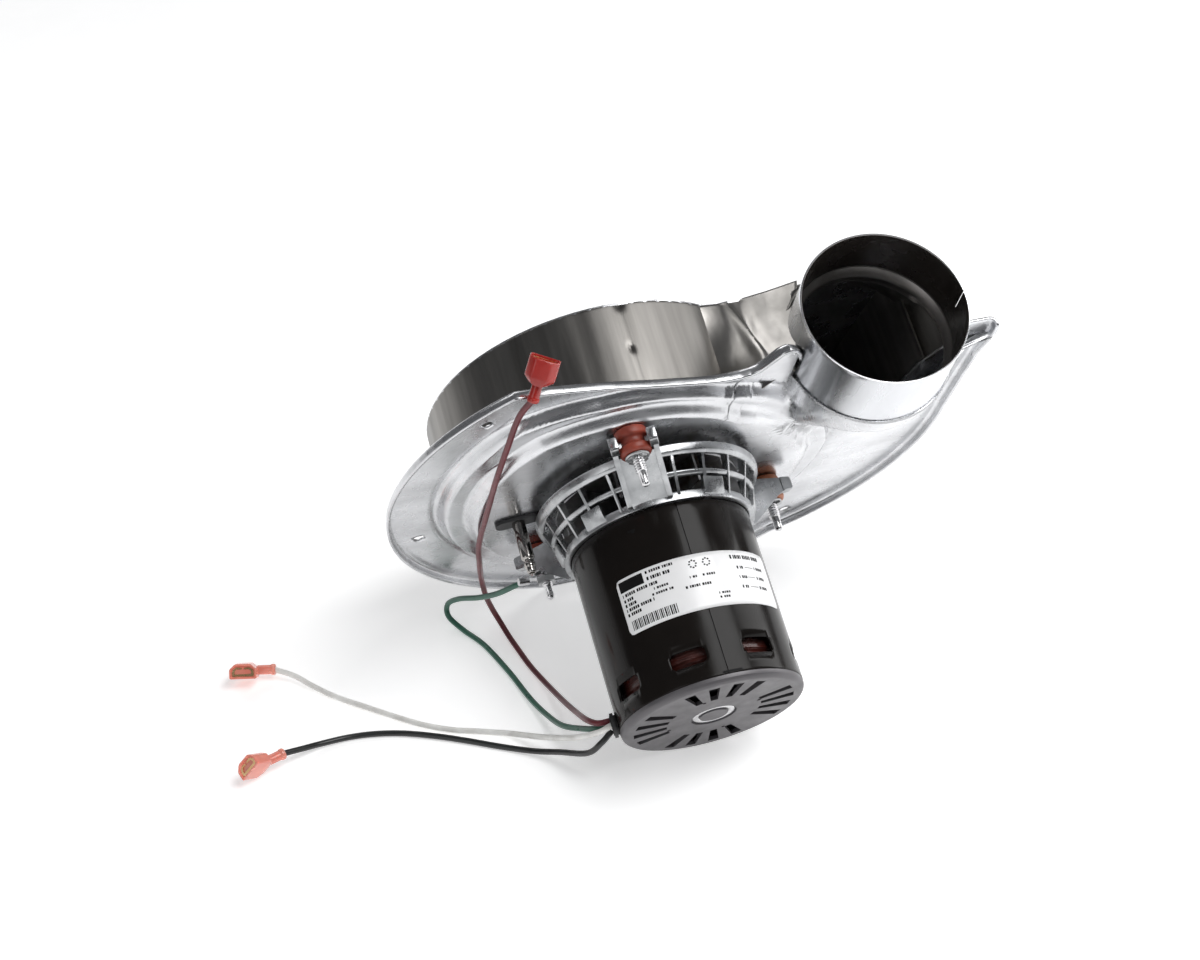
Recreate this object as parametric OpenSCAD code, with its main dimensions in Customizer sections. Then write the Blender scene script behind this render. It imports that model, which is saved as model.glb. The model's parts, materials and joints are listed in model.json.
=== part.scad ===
// Combustion fan: a furnace's draft inducer. It lies on its side as it rests on a bench,
// standing on the straight lower edge of the front plate and on the rim of the motor's cap.
// Every module draws in the machine frame: Z along the shaft towards the motor's cap, Y along
// the outlet, origin where the shaft meets the front face of the plate. rest() lays it down.

/* [Motor] */
// Outside diameter of the motor's shell
shell_d = 84; // [83:0.5:85]
// Distance from the plate to the outer face of the rear cap
cap_z = 124.4; // [123:0.2:126]
// Diameter of the shaft
shaft_d = 7.94; // [7.9:0.02:8]
// Distance of the three mounting studs from the shaft
lug_r = 64.5; // [64:0.1:65]

/* [Housing] */
// Radius of the round side of the flange
flange_r = 119; // [118:0.5:120]
// Distance of the straight standing edge from the shaft
foot_y = 115; // [114:0.5:116]
// Height of the lip around the flange
lip_h = 4; // [3:0.5:5]
// Thickness of the plate
plate_t = 1.2; // [1:0.1:1.4]
// Depth of the scroll behind the plate
drum_h = 45; // [44:0.5:46]
// Inner radius of the scroll at its tongue
tongue_r = 67; // [66.5:0.5:68]
// Growth of the scroll's radius for each degree
scroll_gain = 0.165; // [0.16:0.005:0.17]
// Height of the face stamped up around the motor
face_z = 11; // [10.5:0.5:11]

/* [Outlet] */
// Outside radius of the collar that a vent pipe slides over
collar_r = 37.6; // [37.4:0.1:37.7]
// Distance of the collar's axis from the shaft
collar_x = 100; // [99.5:0.5:100.5]
// Height of the collar's mouth above the shaft
collar_y = 100; // [98:1:104]

/* [Impeller] */
// Radius of the impeller
wheel_r = 60; // [58:0.5:61]
// Number of blades
blade_n = 36; // [24:1:40]

/* [Leads] */
// Diameter of a lead over its insulation
lead_d = 2.8; // [2.6:0.1:2.8]

/* [Hidden] */
$fn = 96;
shell_r = shell_d / 2;
shell_t = 1.2;
shell_z = 37.5;             // front edge of the shell
cap_lap = 3.4;              // part of the cap outside the shell
cap_e = 2.5;                // rounding of the cap's rim
cap_r = shell_r - 0.2;
shaft_r = shaft_d / 2;
run_gap = 0.05;             // running clearance of the shaft in its bearings
bearing_r = 8;
wall_t = 1;
collar_z = -6.7;            // the collar's axis lies a little behind the plate
boot_y = 58;                // the boot turns the square throat into the round collar
boot_end = 70;
boot_z = 20;
tongue_a = 60;
rim_slit_a = -1.5;            // a slit in the collar's rim on its right
inlet_r = 34;
grommet_z = face_z;
window_n = 8;
window_z = 109.6;
rib_n = 21;
lug_a = [104, 224, 344];
exit_a = 193;
exit_z = 116;
tap_at = [-59.3, -8.4];
hole_r = 2.6;
flange_holes = [[-76.8, 71.6], [-102, -32.2], [-24.5, -106.2], [91, -85], [139, 25]];

// The tilt at which the plate's lower lip and the rounded rim of the cap touch one surface
reach_y = foot_y - (cap_r - cap_e);
reach_z = cap_z - cap_e - lip_h;
lean = acos(cap_e / sqrt(reach_y * reach_y + reach_z * reach_z)) - atan2(reach_z, reach_y);
stand_h = foot_y * cos(lean) + lip_h * sin(lean);
side_x = -18.5;
side_y = 16.9;

function polar(r, a) = [r * cos(a), r * sin(a)];
function scroll_r(a) = tongue_r + scroll_gain * (a - tongue_a);

// Inside of the scroll: the tongue, the spiral and the straight run up to the boot
function scroll_path(grow) = concat(
    [for (p = [[47, 57], [42.5, 56], [38, 56.8]]) p * (1 + grow / norm(p))],
    [for (a = [tongue_a : 5 : 360]) polar(scroll_r(a) + grow, a)],
    [[119.6 + grow, 22], [123 + grow, 42], [127 + grow, boot_y]]);

// Outline of the front plate: round on the left, a straight foot, a wide arc on the right
function plate_outline() = concat(
    [for (a = [125 : 5 : 250]) polar(flange_r, a)],
    [[-sqrt(flange_r * flange_r - foot_y * foot_y), -foot_y], [70, -foot_y]],
    [for (a = [-44 : 4 : 0]) [28, 7] + polar(122, a)],
    [[151, 40], [153.5, 64], [156, 78], [155, 84], [62, 86], [61, 97], [49, 97.5]],
    [[46.5, 90], [43.5, 84], [38, 79.5], [31, 80], [16, 86.5], [-12, 92], [-40, 95.5]]);

// Opening of the front plate for the throat and the collar
throat_plan = [[71.2, 7.4], [116.3, 7.4], [128.6, boot_y - 1], [139.6, boot_end], [139.6, 100],
               [60.6, 100], [60.6, boot_end], [45.3, boot_y + 0.6]];

// Routes of the leads as they lie, in the resting frame, from the bushing outwards
red_route = [[-62, -74.6, 32], [-67, -73.2, 31], [-70, -66, 28], [-70.5, -50, 20], [-71, -30, 11],
    [-73, -7, 4], [-76, 12, 1.4], [-78, 25, 1.4], [-80, 38, 2], [-82, 47, 5], [-85, 50, 12],
    [-88, 48, 22], [-91, 41, 38], [-94, 27, 57], [-95.5, 17, 74.5], [-94, 1, 101.5],
    [-92.5, -17.5, 130.5], [-89, -27.5, 151.5], [-85, -36, 171], [-80, -42, 182]];
green_route = [[-62, -74.6, 29], [-67, -71.5, 26.5], [-72, -60, 19], [-77, -47, 12], [-80, -30, 6],
    [-83, -12, 2.4], [-87, 12, 1.4], [-93, 36, 1.4], [-100, 51, 1.8], [-105, 60, 5], [-104.5, 62, 11],
    [-100, 55, 18], [-93, 42, 26], [-86, 30, 35], [-79.5, 21, 44], [-75, 18, 47.6]];
white_route = [[-62, -77.6, 32], [-68, -77, 29], [-76, -66, 19.5], [-86, -49, 9], [-98, -34, 2.5],
    [-111, -26.5, 1.4], [-123, -21, 1.4], [-135, -13, 1.4], [-148, -1, 1.4], [-158, 9, 1.4],
    [-169, 20, 1.4], [-178, 31, 2], [-186, 40, 4], [-194.5, 46, 5.6]];
black_route = [[-62, -77.6, 29], [-67.5, -79.5, 25], [-73, -75, 17], [-82, -60, 8], [-91, -50, 3],
    [-103, -41, 1.4], [-118, -31, 1.4], [-131, -23, 1.4], [-145, -16, 1.4], [-158, -12, 1.4],
    [-170, -10.5, 1.4], [-182, -12, 2.4], [-191, -15.5, 4.8], [-201.5, -19.5, 7.6]];

module rest() {
    translate([side_x, side_y, stand_h]) rotate([90 + lean, 0, 0]) children();
}
module tube(r_out, r_in, z0, z1) {
    translate([0, 0, z0]) difference() {
        cylinder(r = r_out, h = z1 - z0);
        translate([0, 0, -1]) cylinder(r = r_in, h = z1 - z0 + 2);
    }
}
module rod(r, z0, z1) {
    translate([0, 0, z0]) cylinder(r = r, h = z1 - z0);
}
// A flat blade or rib that stands in the plane through the axis, from an outline in radius and height
module fin(outline, thick) {
    rotate([90, 0, 0]) linear_extrude(thick, center = true) polygon(outline);
}
module throat_cut() {
    translate([0, 0, -2]) linear_extrude(40) polygon(throat_plan);
}

// ---- housing ----
module housing_plate() {
    color("#b9bcc0") rest() difference() {
        union() {
            difference() {
                translate([0, 0, -plate_t]) linear_extrude(plate_t) polygon(plate_outline());
                translate([0, 0, -2]) cylinder(r = 87, h = 4);
            }
            linear_extrude(lip_h) difference() {
                polygon(plate_outline());
                offset(delta = -plate_t) polygon(plate_outline());
            }
            rotate_extrude() polygon([[12, face_z - plate_t], [79.5, face_z - plate_t], [82, 5.3],
                [84.5, 4.8], [87, -plate_t], [88, -plate_t], [88, 0], [86, 6], [83, 6.5],
                [80.5, face_z], [12, face_z]]);
        }
        throat_cut();
        for (p = flange_holes) translate([p.x, p.y, -2]) cylinder(r = hole_r, h = 4);
        translate([tap_at.x, tap_at.y, 5]) cylinder(r = 2.5, h = 10);
    }
}
module scroll_wall() {
    color("#a9a7a4") rest() translate([0, 0, -drum_h]) linear_extrude(drum_h - plate_t)
        polygon(concat(scroll_path(0), [for (i = [len(scroll_path(0)) - 1 : -1 : 0]) scroll_path(wall_t)[i]]));
}
module back_panel() {
    color("#b4b6b8") rest() difference() {
        union() {
            translate([0, 0, -drum_h - plate_t]) linear_extrude(plate_t) polygon(scroll_path(wall_t));
            // The inlet is turned inwards into a short bell
            rotate_extrude() polygon([[inlet_r, -38], [inlet_r + 1.2, -38], [inlet_r + 2, -42],
                [inlet_r + 5.5, -drum_h], [inlet_r + 5.5, -drum_h - plate_t], [inlet_r, -drum_h - plate_t]]);
        }
        translate([0, 0, -60]) cylinder(r = inlet_r, h = 30);
    }
}
module boot_form(inset) {
    hull() {
        translate([46 + inset, boot_y - inset / 10, -drum_h - plate_t + inset])
            cube([82 - 2 * inset, 0.5, drum_h + plate_t + boot_z - 2 * inset]);
        translate([collar_x, boot_end - 0.5 + inset / 10, collar_z]) rotate([-90, 0, 0])
            cylinder(r = collar_r + 1.1 - inset, h = 0.5, $fn = 48);
    }
    hull() {
        translate([72 + inset, 8 + inset, -inset]) cube([44 - 2 * inset, 0.5, 6.5]);
        translate([46 + inset, boot_y - 0.5 + inset / 5, -inset]) cube([82 - 2 * inset, 0.5, boot_z]);
    }
}
module throat_boot() {
    color("#c3c5c8") rest() difference() {
        boot_form(0);
        boot_form(1);
    }
}
module outlet_collar() {
    color("#c8cacc") rest() translate([collar_x, 0, collar_z]) rotate([-90, 0, 0]) difference() {
        union() {
            tube(collar_r, collar_r - 1, boot_end + 1, collar_y);
            tube(collar_r + 1.4, collar_r - 1, boot_end, boot_end + 1);
        }
        rotate([0, 0, -rim_slit_a]) translate([collar_r - 3, -0.7, collar_y - 14])
            cube([6, 1.4, 15]);
    }
}

// ---- impeller ----
module impeller_hub() {
    color("#77797b") rest() difference() {
        rod(9, -26, -7);
        rod(shaft_r, -30, 0);
        translate([0, 0, -16]) rotate([0, 90, 0]) cylinder(r = 2, h = 20);
    }
}
module impeller_disc() {
    color("#9a9c9e") rest() tube(wheel_r, 9, -8.2, -7.2);
}
module impeller_blades() {
    color("#8e9092") rest() for (i = [0 : blade_n - 1]) rotate([0, 0, i * 360 / blade_n])
        translate([47, 0, -39]) rotate([0, 0, 32]) cube([14, 0.8, 30.8]);
}
module impeller_ring() {
    color("#9a9c9e") rest() tube(wheel_r, 51, -40, -39);
}
module set_screw() {
    color("#2e2e30") rest() translate([0, 0, -16]) rotate([0, 90, 0])
        translate([0, 0, shaft_r]) cylinder(r = 2, h = 5.6);
}

// ---- motor ----
module lug() {
    // Two tapered cheeks and the seat between them that clasps the grommet's groove
    for (side = [-1, 1]) translate([0, side * 9, 0])
        fin([[45.5, 15.1], [71, 15.1], [72.5, 18], [70.5, 21], [46, 38.1], [43.2, 38.1]], 2.5);
    difference() {
        translate([49, -8, 16.1]) cube([lug_r - 49 + 4, 16, 2.6]);
        translate([lug_r, 0, 14]) cylinder(r = 5.5, h = 8);
    }
}
module end_shield() {
    color("#d2d4d6") rest() difference() {
        union() {
            rotate_extrude() polygon([[46.5, 15.5], [52, 15.5], [52.6, 17], [52, 19], [47, 19.5]]);
            tube(48.4, 45, 26.5, 28.6);
            rotate_extrude() polygon([[36, 34.6], [44.8, 34.6], [44.8, 39.1], [shell_r + 0.02, 39.1],
                [shell_r + 0.02, shell_z], [36, shell_z]]);
            for (i = [0 : rib_n - 1]) rotate([0, 0, lug_a[0] + i * 360 / rib_n])
                fin([[48, 16.2], [51.6, 16.2], [44.4, 38.4], [42.6, 37.2]], 1.6);
            for (a = lug_a) rotate([0, 0, a]) lug();
            for (i = [0 : 7]) rotate([0, 0, 22.5 + i * 45])
                fin([[10, 35], [37, 35], [37, 37], [10, 37]], 7);
            rod(12.5, 32, 45);
        }
        rod(bearing_r, 30, 50);
    }
}
module at_lugs() {
    for (a = lug_a) rotate([0, 0, a]) translate([lug_r, 0, 0]) children();
}
module grommets() {
    color("#b4452f") rest() at_lugs() difference() {
        union() {
            rod(7.4, grommet_z, 15.9);
            rod(5.4, 15.9, 18.9);
            rod(7.4, 18.9, 23);
        }
        rod(3.6, 0, 40);
    }
}
module sleeves() {
    color("#a8a9ab") rest() at_lugs() tube(3.6, 2.9, grommet_z, 23.4);
}
module mount_studs() {
    color("#cfd0d2") rest() at_lugs() {
        rod(2.7, grommet_z, 30);
        rod(1.9, 30, 37);
        translate([0, 0, 37]) cylinder(r1 = 1.9, r2 = 1.1, h = 1);
    }
}
module spring_nuts() {
    color("#8d8f92") rest() at_lugs() difference() {
        union() {
            rod(5.2, 23.4, 24.4);
            translate([-4, -4, 24.4]) cube([8, 8, 1.6]);
        }
        rod(2.7, 20, 30);
    }
}
module ground_nut() {
    color("#9d9fa1") rest() rotate([0, 0, lug_a[1]]) translate([lug_r, 0, 27])
        difference() {
            cylinder(r = 4.6, h = 2.8, $fn = 6);
            translate([0, 0, -1]) cylinder(r = 2.7, h = 5);
        }
}
module ring_terminal() {
    color("#b9babc") rest() translate([lug_r * cos(lug_a[1]), lug_r * sin(lug_a[1]), 26.1]) {
        difference() {
            union() {
                cylinder(r = 4.8, h = 0.8);
                rotate([0, 0, 171]) translate([3, -1.7, 0]) cube([6.5, 3.4, 0.8]);
            }
            translate([0, 0, -1]) cylinder(r = 2.75, h = 3);
        }
        rotate([0, 0, 171]) translate([8.6, 0, 1.2]) rotate([0, 90, 0]) cylinder(r = 1.9, h = 5);
    }
}
module motor_shell() {
    color("#121213") rest() difference() {
        tube(shell_r, shell_r - shell_t, shell_z, cap_z - cap_lap);
        for (i = [0 : window_n - 1]) rotate([0, 0, 20 + i * 360 / window_n])
            translate([shell_r - 6, -8, window_z - 3.6]) cube([12, 16, 7.2]);
        rotate([0, 0, exit_a]) translate([0, 0, exit_z]) rotate([0, 90, 0]) cylinder(r = 4.6, h = 60);
        // The lap seam, and the slit at its end
        rotate([0, 0, 90]) translate([shell_r - 0.5, -0.3, shell_z - 1]) cube([2, 0.6, 86]);
        rotate([0, 0, 87]) translate([shell_r - 0.8, -4.4, 121.6 - 0.9]) cube([3, 8.8, 0.9]);
    }
}
module rear_cap() {
    slot_in = 21.5;
    slot_out = 36.5;
    color("#3b3b3e") rest() difference() {
        union() {
            translate([0, 0, cap_z]) rotate_extrude() polygon(concat(
                [[0, 0], [cap_r - cap_e, 0]],
                [for (a = [75 : -15 : 0]) [cap_r - cap_e + cap_e * cos(a), -cap_e + cap_e * sin(a)]],
                [[cap_r, -cap_lap], [shell_r - shell_t, -cap_lap], [shell_r - shell_t, -8],
                 [shell_r - shell_t - 1.4, -8], [shell_r - shell_t - 1.4, -3.4], [37.4, -1.8], [0, -1.8]]));
            rod(11.5, 111, cap_z - 1);
        }
        rod(bearing_r, 105, cap_z - 3);
        // The pressed ring around the bearing and the four dimples outside it
        translate([0, 0, cap_z - 0.9]) difference() {
            cylinder(r = 10.4, h = 3);
            translate([0, 0, -1]) cylinder(r = 6.4, h = 5);
        }
        for (a = [22 : 90 : 292]) rotate([0, 0, a]) translate([21, 0, cap_z - 0.6])
            cylinder(r = 0.9, h = 2);
        rotate([0, 0, exit_a]) translate([0, 0, exit_z]) rotate([0, 90, 0]) cylinder(r = 6, h = 60);
        for (quarter = [0 : 3]) for (k = [0 : 3]) rotate([0, 0, 1 + quarter * 90 + (k - 1.5) * 17.5])
            translate([0, 0, cap_z - 5]) linear_extrude(10) polygon([[slot_in, -1.6], [slot_out, -2.5],
                [slot_out, 2.5], [slot_in, 1.6]]);
    }
}
module stator_core() {
    color("#5d5f62") rest() difference() {
        tube(shell_r - shell_t, 20.3, 58, 98);
        for (i = [0 : 11]) rotate([0, 0, i * 30]) translate([27, 0, 50]) cylinder(r = 3, h = 60);
    }
}
module windings() {
    color("#8a3f24") rest() for (z = [44, 98]) translate([0, 0, z])
        rotate_extrude() polygon([[24, 0], [37.4, 0], [38, 2], [38, 11], [36, 13.6], [26, 13.6],
            [24, 11]]);
}
module rotor_core() {
    color("#8f9193") rest() {
        tube(19.9, shaft_r, 58, 98);
        tube(18, 11, 98, 104);
        tube(18, 11, 52, 58);
    }
}
module shaft() {
    color("#c9cacc") rest() rod(shaft_r, -27, 119.5);
}
module front_bearing() {
    color("#a27d3e") rest() tube(bearing_r, shaft_r + run_gap, 33, 44);
}
module rear_bearing() {
    color("#a27d3e") rest() tube(bearing_r, shaft_r + run_gap, 112, 120);
}
module cooling_fan() {
    color("#4a4b4d") rest() {
        rotate_extrude() polygon([[shaft_r, 16], [43, 16], [43, 17], [9, 17], [9, 30], [shaft_r, 30]]);
        for (i = [0 : 13]) rotate([0, 0, i * 360 / 14]) translate([8.4, 0, 16.6])
            rotate([0, 0, -12]) cube([33.4, 1.2, 12.9]);
    }
}
module rating_label() {
    color("#f0f0ee") rest() translate([0, 0, 64.8]) rotate([0, 0, 27])
        rotate_extrude(angle = 113) translate([shell_r, 0]) square([0.2, 25.7]);
}
module pressure_tap() {
    color("#8f8c88") rest() translate([tap_at.x, tap_at.y, 0]) difference() {
        union() {
            rod(3.1, face_z + 1.5, 31);
            rod(2.2, 31, 38);
            translate([0, 0, 31]) cylinder(r1 = 3.1, r2 = 2.2, h = 1);
        }
        rod(1.3, 0, 50);
    }
}
module tap_gasket() {
    color("#262627") rest() translate([tap_at.x, tap_at.y, face_z]) rotate([0, 0, 9.5])
        difference() {
            union() {
                for (side = [-1, 1]) translate([side * 6.8, 0, 0]) cylinder(r = 3.8, h = 1.5);
                translate([-6.8, -3.8, 0]) cube([13.6, 7.6, 1.5]);
            }
            translate([0, 0, -1]) cylinder(r = 1.3, h = 4);
        }
}

// ---- leads ----
module lead_bushing() {
    color("#1b1b1c") rest() rotate([0, 0, exit_a]) translate([0, 0, exit_z]) rotate([0, 90, 0]) {
        translate([0, 0, 38.5]) cylinder(r = 4.5, h = 6);
        translate([0, 0, shell_r + 0.6]) cylinder(r = 5.6, h = 1.6);
    }
}
function unit(v) = v / norm(v);
function heading(route, i) = unit(route[min(i + 1, len(route) - 1)] - route[max(i - 1, 0)]);
// A tube with eight sides and one ring at each point of the route
module lead(route, over) {
    n = 8;
    rings = len(route);
    points = [for (i = [0 : rings - 1], k = [0 : n - 1])
        let (t = heading(route, i), u = unit(cross(t, over)), v = cross(u, t))
        route[i] + lead_d / 2 * (cos(k * 360 / n) * u + sin(k * 360 / n) * v)];
    sides = [for (i = [0 : rings - 2], k = [0 : n - 1])
        [i * n + k, i * n + (k + 1) % n, (i + 1) * n + (k + 1) % n, (i + 1) * n + k]];
    start = [for (k = [n - 1 : -1 : 0]) k];
    finish = [for (k = [0 : n - 1]) (rings - 1) * n + k];
    polyhedron(points, concat([start, finish], sides));
}
module lead_red() {
    color("#7c2730") lead(red_route, [1, 0.2, 0.3]);
}
module lead_white() {
    color("#e9e6df") lead(white_route, [0, 0, 1]);
}
module lead_black() {
    color("#26272a") lead(black_route, [0, 0, 1]);
}
module lead_green() {
    color("#2f5f4f") lead(green_route, [1, 0.2, 0.3]);
}
// An insulated terminal: the lead enters the neck along X, and the mouth for the spade opens
// along X too, turned by bend. The underside is flat and the top's corners are cut off
boot_w = 13;
boot_l = 11.5;
module terminal_at(p, turn, rise, roll) {
    translate(p) rotate([0, 0, turn]) rotate([0, -rise, 0]) rotate([roll, 0, 0]) children();
}
module at_mouth(bend) {
    translate([8 + boot_w / 2 * sin(bend), 0, 0]) rotate([0, 0, bend])
        translate([-3 * sin(bend), 0, 0]) children();
}
module boot_bar(inset, x0, x1) {
    translate([x0, 0, 0]) rotate([90, 0, 90]) linear_extrude(x1 - x0) polygon([
        [-boot_w / 2 + inset, -3.4 + inset], [boot_w / 2 - inset, -3.4 + inset],
        [boot_w / 2 - inset, 1.2], [3.7 - inset / 2, 3.8 - inset],
        [inset / 2 - 3.7, 3.8 - inset], [-boot_w / 2 + inset, 1.2]]);
}
module boot(bend) {
    difference() {
        union() {
            rotate([0, 90, 0]) cylinder(r = 2.4, h = 8.4 + 1.2 * sin(bend));
            at_mouth(bend) boot_bar(0, 0, boot_l);
        }
        at_mouth(bend) boot_bar(0.9, 1, boot_l + 1);
        rotate([0, 90, 0]) translate([0, 0, -1]) cylinder(r = 1.6, h = 12);
    }
}
module receptacle(bend) {
    at_mouth(bend) translate([2, -4, -1.4]) cube([8, 8, 2.6]);
    rotate([0, 90, 0]) translate([0, 0, 1.6]) cylinder(r = 1.4, h = 9);
}
module at_red_end() terminal_at([-80.3, -42.1, 181], 17, 67.5, 49) children();
module at_white_end() terminal_at([-193.5, 45.7, 5.6], 164, 0, 33) children();
module at_black_end() terminal_at([-200.1, -19.3, 7.6], 200, 0, 65) children();
module boot_red() {
    color("#c4433c") at_red_end() boot(0);
}
module receptacle_red() {
    color("#c9a24b") at_red_end() receptacle(0);
}
module boot_white() {
    color("#d98c80") at_white_end() boot(90);
}
module receptacle_white() {
    color("#c9a24b") at_white_end() receptacle(90);
}
module boot_black() {
    color("#d98c80") at_black_end() boot(30);
}
module receptacle_black() {
    color("#c9a24b") at_black_end() receptacle(30);
}

housing_plate();
scroll_wall();
back_panel();
throat_boot();
outlet_collar();
impeller_hub();
impeller_disc();
impeller_blades();
impeller_ring();
set_screw();
end_shield();
grommets();
sleeves();
mount_studs();
spring_nuts();
motor_shell();
rear_cap();
stator_core();
windings();
rotor_core();
shaft();
front_bearing();
rear_bearing();
cooling_fan();
rating_label();
pressure_tap();
tap_gasket();
lead_bushing();
ring_terminal();
ground_nut();
lead_red();
lead_white();
lead_black();
lead_green();
receptacle_red();
receptacle_white();
receptacle_black();
boot_red();
boot_white();
boot_black();
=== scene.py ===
"""The looks of a furnace's combustion fan, built as an add-on and run as a script.

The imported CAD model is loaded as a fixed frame. Every new piece is worked out with numpy in the
fan's machine frame, in millimetres: Z along the shaft towards the motor's cap, Y along the outlet,
origin where the shaft meets the front face of the plate. placed() turns that into the frame's metres.
"""

import json
import math

import bpy
import numpy as np
from bpy.props import FloatProperty, FloatVectorProperty, IntProperty, PointerProperty
from mathutils import Matrix, Vector


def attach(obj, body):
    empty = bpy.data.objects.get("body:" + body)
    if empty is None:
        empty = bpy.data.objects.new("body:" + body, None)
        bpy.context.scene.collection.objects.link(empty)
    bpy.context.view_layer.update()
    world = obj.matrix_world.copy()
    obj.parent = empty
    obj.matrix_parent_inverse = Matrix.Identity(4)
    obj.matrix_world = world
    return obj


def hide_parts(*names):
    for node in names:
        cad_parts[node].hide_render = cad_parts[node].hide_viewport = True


bl_info = {
    "name": "Combustion Fan",
    "version": (1, 0, 0),
    "blender": (4, 5, 0),
    "location": "View3D > Sidebar > Fan",
    "description": "Builds the visible pieces of a furnace's combustion fan around its CAD frame",
    "category": "Object",
}

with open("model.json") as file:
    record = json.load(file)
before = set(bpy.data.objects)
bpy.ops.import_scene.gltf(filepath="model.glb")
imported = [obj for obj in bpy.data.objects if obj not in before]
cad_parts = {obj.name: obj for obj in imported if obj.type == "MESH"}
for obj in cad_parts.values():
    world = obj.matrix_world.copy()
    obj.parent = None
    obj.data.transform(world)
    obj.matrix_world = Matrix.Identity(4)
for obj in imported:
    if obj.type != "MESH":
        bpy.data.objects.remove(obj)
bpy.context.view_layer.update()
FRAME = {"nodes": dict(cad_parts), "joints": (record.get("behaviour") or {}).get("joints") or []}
SPIN = FRAME["joints"][0]
ORIGIN = np.array(SPIN["pos_m"], float)
AXIS_Z = np.array(SPIN["axis"], float)
AXIS_X = np.array([1.0, 0.0, 0.0])
AXIS_Y = np.cross(AXIS_Z, AXIS_X)
AXES = np.stack([AXIS_X, AXIS_Y, AXIS_Z])
HOUSING = "housing"
ROTOR = "rotor"


# ---------------------------------------------------------------- sizes and colours


class FanMotorSettings(bpy.types.PropertyGroup):
    """Sizes of the motor and its cage, in millimetres"""

    shell_r: FloatProperty(name="Shell radius", description="Outside radius of the shell", default=42.0)
    shell_front: FloatProperty(name="Shell front", description="Front edge of the shell", default=37.5)
    shell_back: FloatProperty(name="Shell back", description="Edge of the shell at the cap", default=121.0)
    rib_count: IntProperty(name="Ribs", description="Ribs around the cage", default=21)
    enamel: FloatVectorProperty(
        name="Enamel", description="Colour of the shell", subtype="COLOR", default=(0.0075, 0.0062, 0.0055)
    )
    cap_paint: FloatVectorProperty(
        name="Cap", description="Colour of the cap", subtype="COLOR", default=(0.105, 0.100, 0.106)
    )


class FanHousingSettings(bpy.types.PropertyGroup):
    """Sizes of the scroll housing, in millimetres"""

    drum_depth: FloatProperty(name="Drum depth", description="Depth behind the plate", default=45.0)
    lip: FloatProperty(name="Lip", description="Height of the flange's lip", default=4.0)
    sheet: FloatProperty(name="Sheet", description="Thickness of the plate", default=1.2)
    collar_r: FloatProperty(name="Collar radius", description="Outside radius of the collar", default=37.6)
    collar_end: FloatProperty(name="Collar end", description="Height of the collar's mouth", default=100.0)
    zinc: FloatVectorProperty(
        name="Zinc", description="Colour of the plate", subtype="COLOR", default=(0.66, 0.665, 0.68)
    )


class FanLeadSettings(bpy.types.PropertyGroup):
    """Sizes and colours of the leads"""

    diameter: FloatProperty(name="Lead", description="Diameter of a lead", default=0.0028, subtype="DISTANCE")
    red: FloatVectorProperty(name="Red", description="Red lead", subtype="COLOR", default=(0.135, 0.017, 0.024))
    white: FloatVectorProperty(name="White", description="White lead", subtype="COLOR", default=(0.88, 0.86, 0.82))
    black: FloatVectorProperty(name="Black", description="Black lead", subtype="COLOR", default=(0.014, 0.015, 0.015))
    green: FloatVectorProperty(name="Green", description="Green lead", subtype="COLOR", default=(0.038, 0.135, 0.092))


# ---------------------------------------------------------------- numpy surfaces


def placed(points):
    """Machine frame in millimetres to the frame's metres: the origin plus each axis times its part."""
    return ORIGIN + (np.asarray(points, float) / 1000.0) @ AXES


def grid(points, around=False, along=False):
    """Faces of a grid of points (rows, columns, 3). around joins the last row to the first, along the
    last column to the first. A face's normal is the row direction crossed with the column direction."""
    rows, cols = points.shape[:2]
    i = np.arange(rows if around else rows - 1)
    j = np.arange(cols if along else cols - 1)
    a, b = np.meshgrid(i, j, indexing="ij")
    a2, b2 = (a + 1) % rows, (b + 1) % cols
    faces = np.stack([a * cols + b, a2 * cols + b, a2 * cols + b2, a * cols + b2], -1)
    return points.reshape(-1, 3), faces.reshape(-1, 4).tolist()


def revolve(profile, steps):
    """A profile of (radius, z), closed and anticlockwise, turned once about the shaft's axis.
    A point is (radius cos a, radius sin a, z)."""
    profile = np.asarray(profile, float)
    a = np.radians(np.linspace(0, 360, steps, endpoint=False))
    x, y = np.outer(np.cos(a), profile[:, 0]), np.outer(np.sin(a), profile[:, 0])
    return grid(np.stack([x, y, np.tile(profile[:, 1], (steps, 1))], -1), around=True, along=True)


def arc(centre, r, a0, a1, n=5):
    """Points of a circular arc in the plane, from angle a0 to a1 in degrees."""
    a = np.radians(np.linspace(a0, a1, n))
    return [(centre[0] + r * math.cos(t), centre[1] + r * math.sin(t)) for t in a]


def rounded(outline, r, n=4):
    """A convex or concave outline with every corner rounded to at most r: each corner becomes a
    quadratic curve between points at r along its two sides."""
    q = np.asarray(outline, float)
    out = []
    for k in range(len(q)):
        a, b, c = q[k - 1], q[k], q[(k + 1) % len(q)]
        ra = min(r, 0.45 * np.linalg.norm(a - b))
        rc = min(r, 0.45 * np.linalg.norm(c - b))
        s, e = b + (a - b) / np.linalg.norm(a - b) * ra, b + (c - b) / np.linalg.norm(c - b) * rc
        for t in np.linspace(0, 1, n):
            out.append((1 - t) ** 2 * s + 2 * t * (1 - t) * b + t * t * e)
    return np.array(out)


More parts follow.
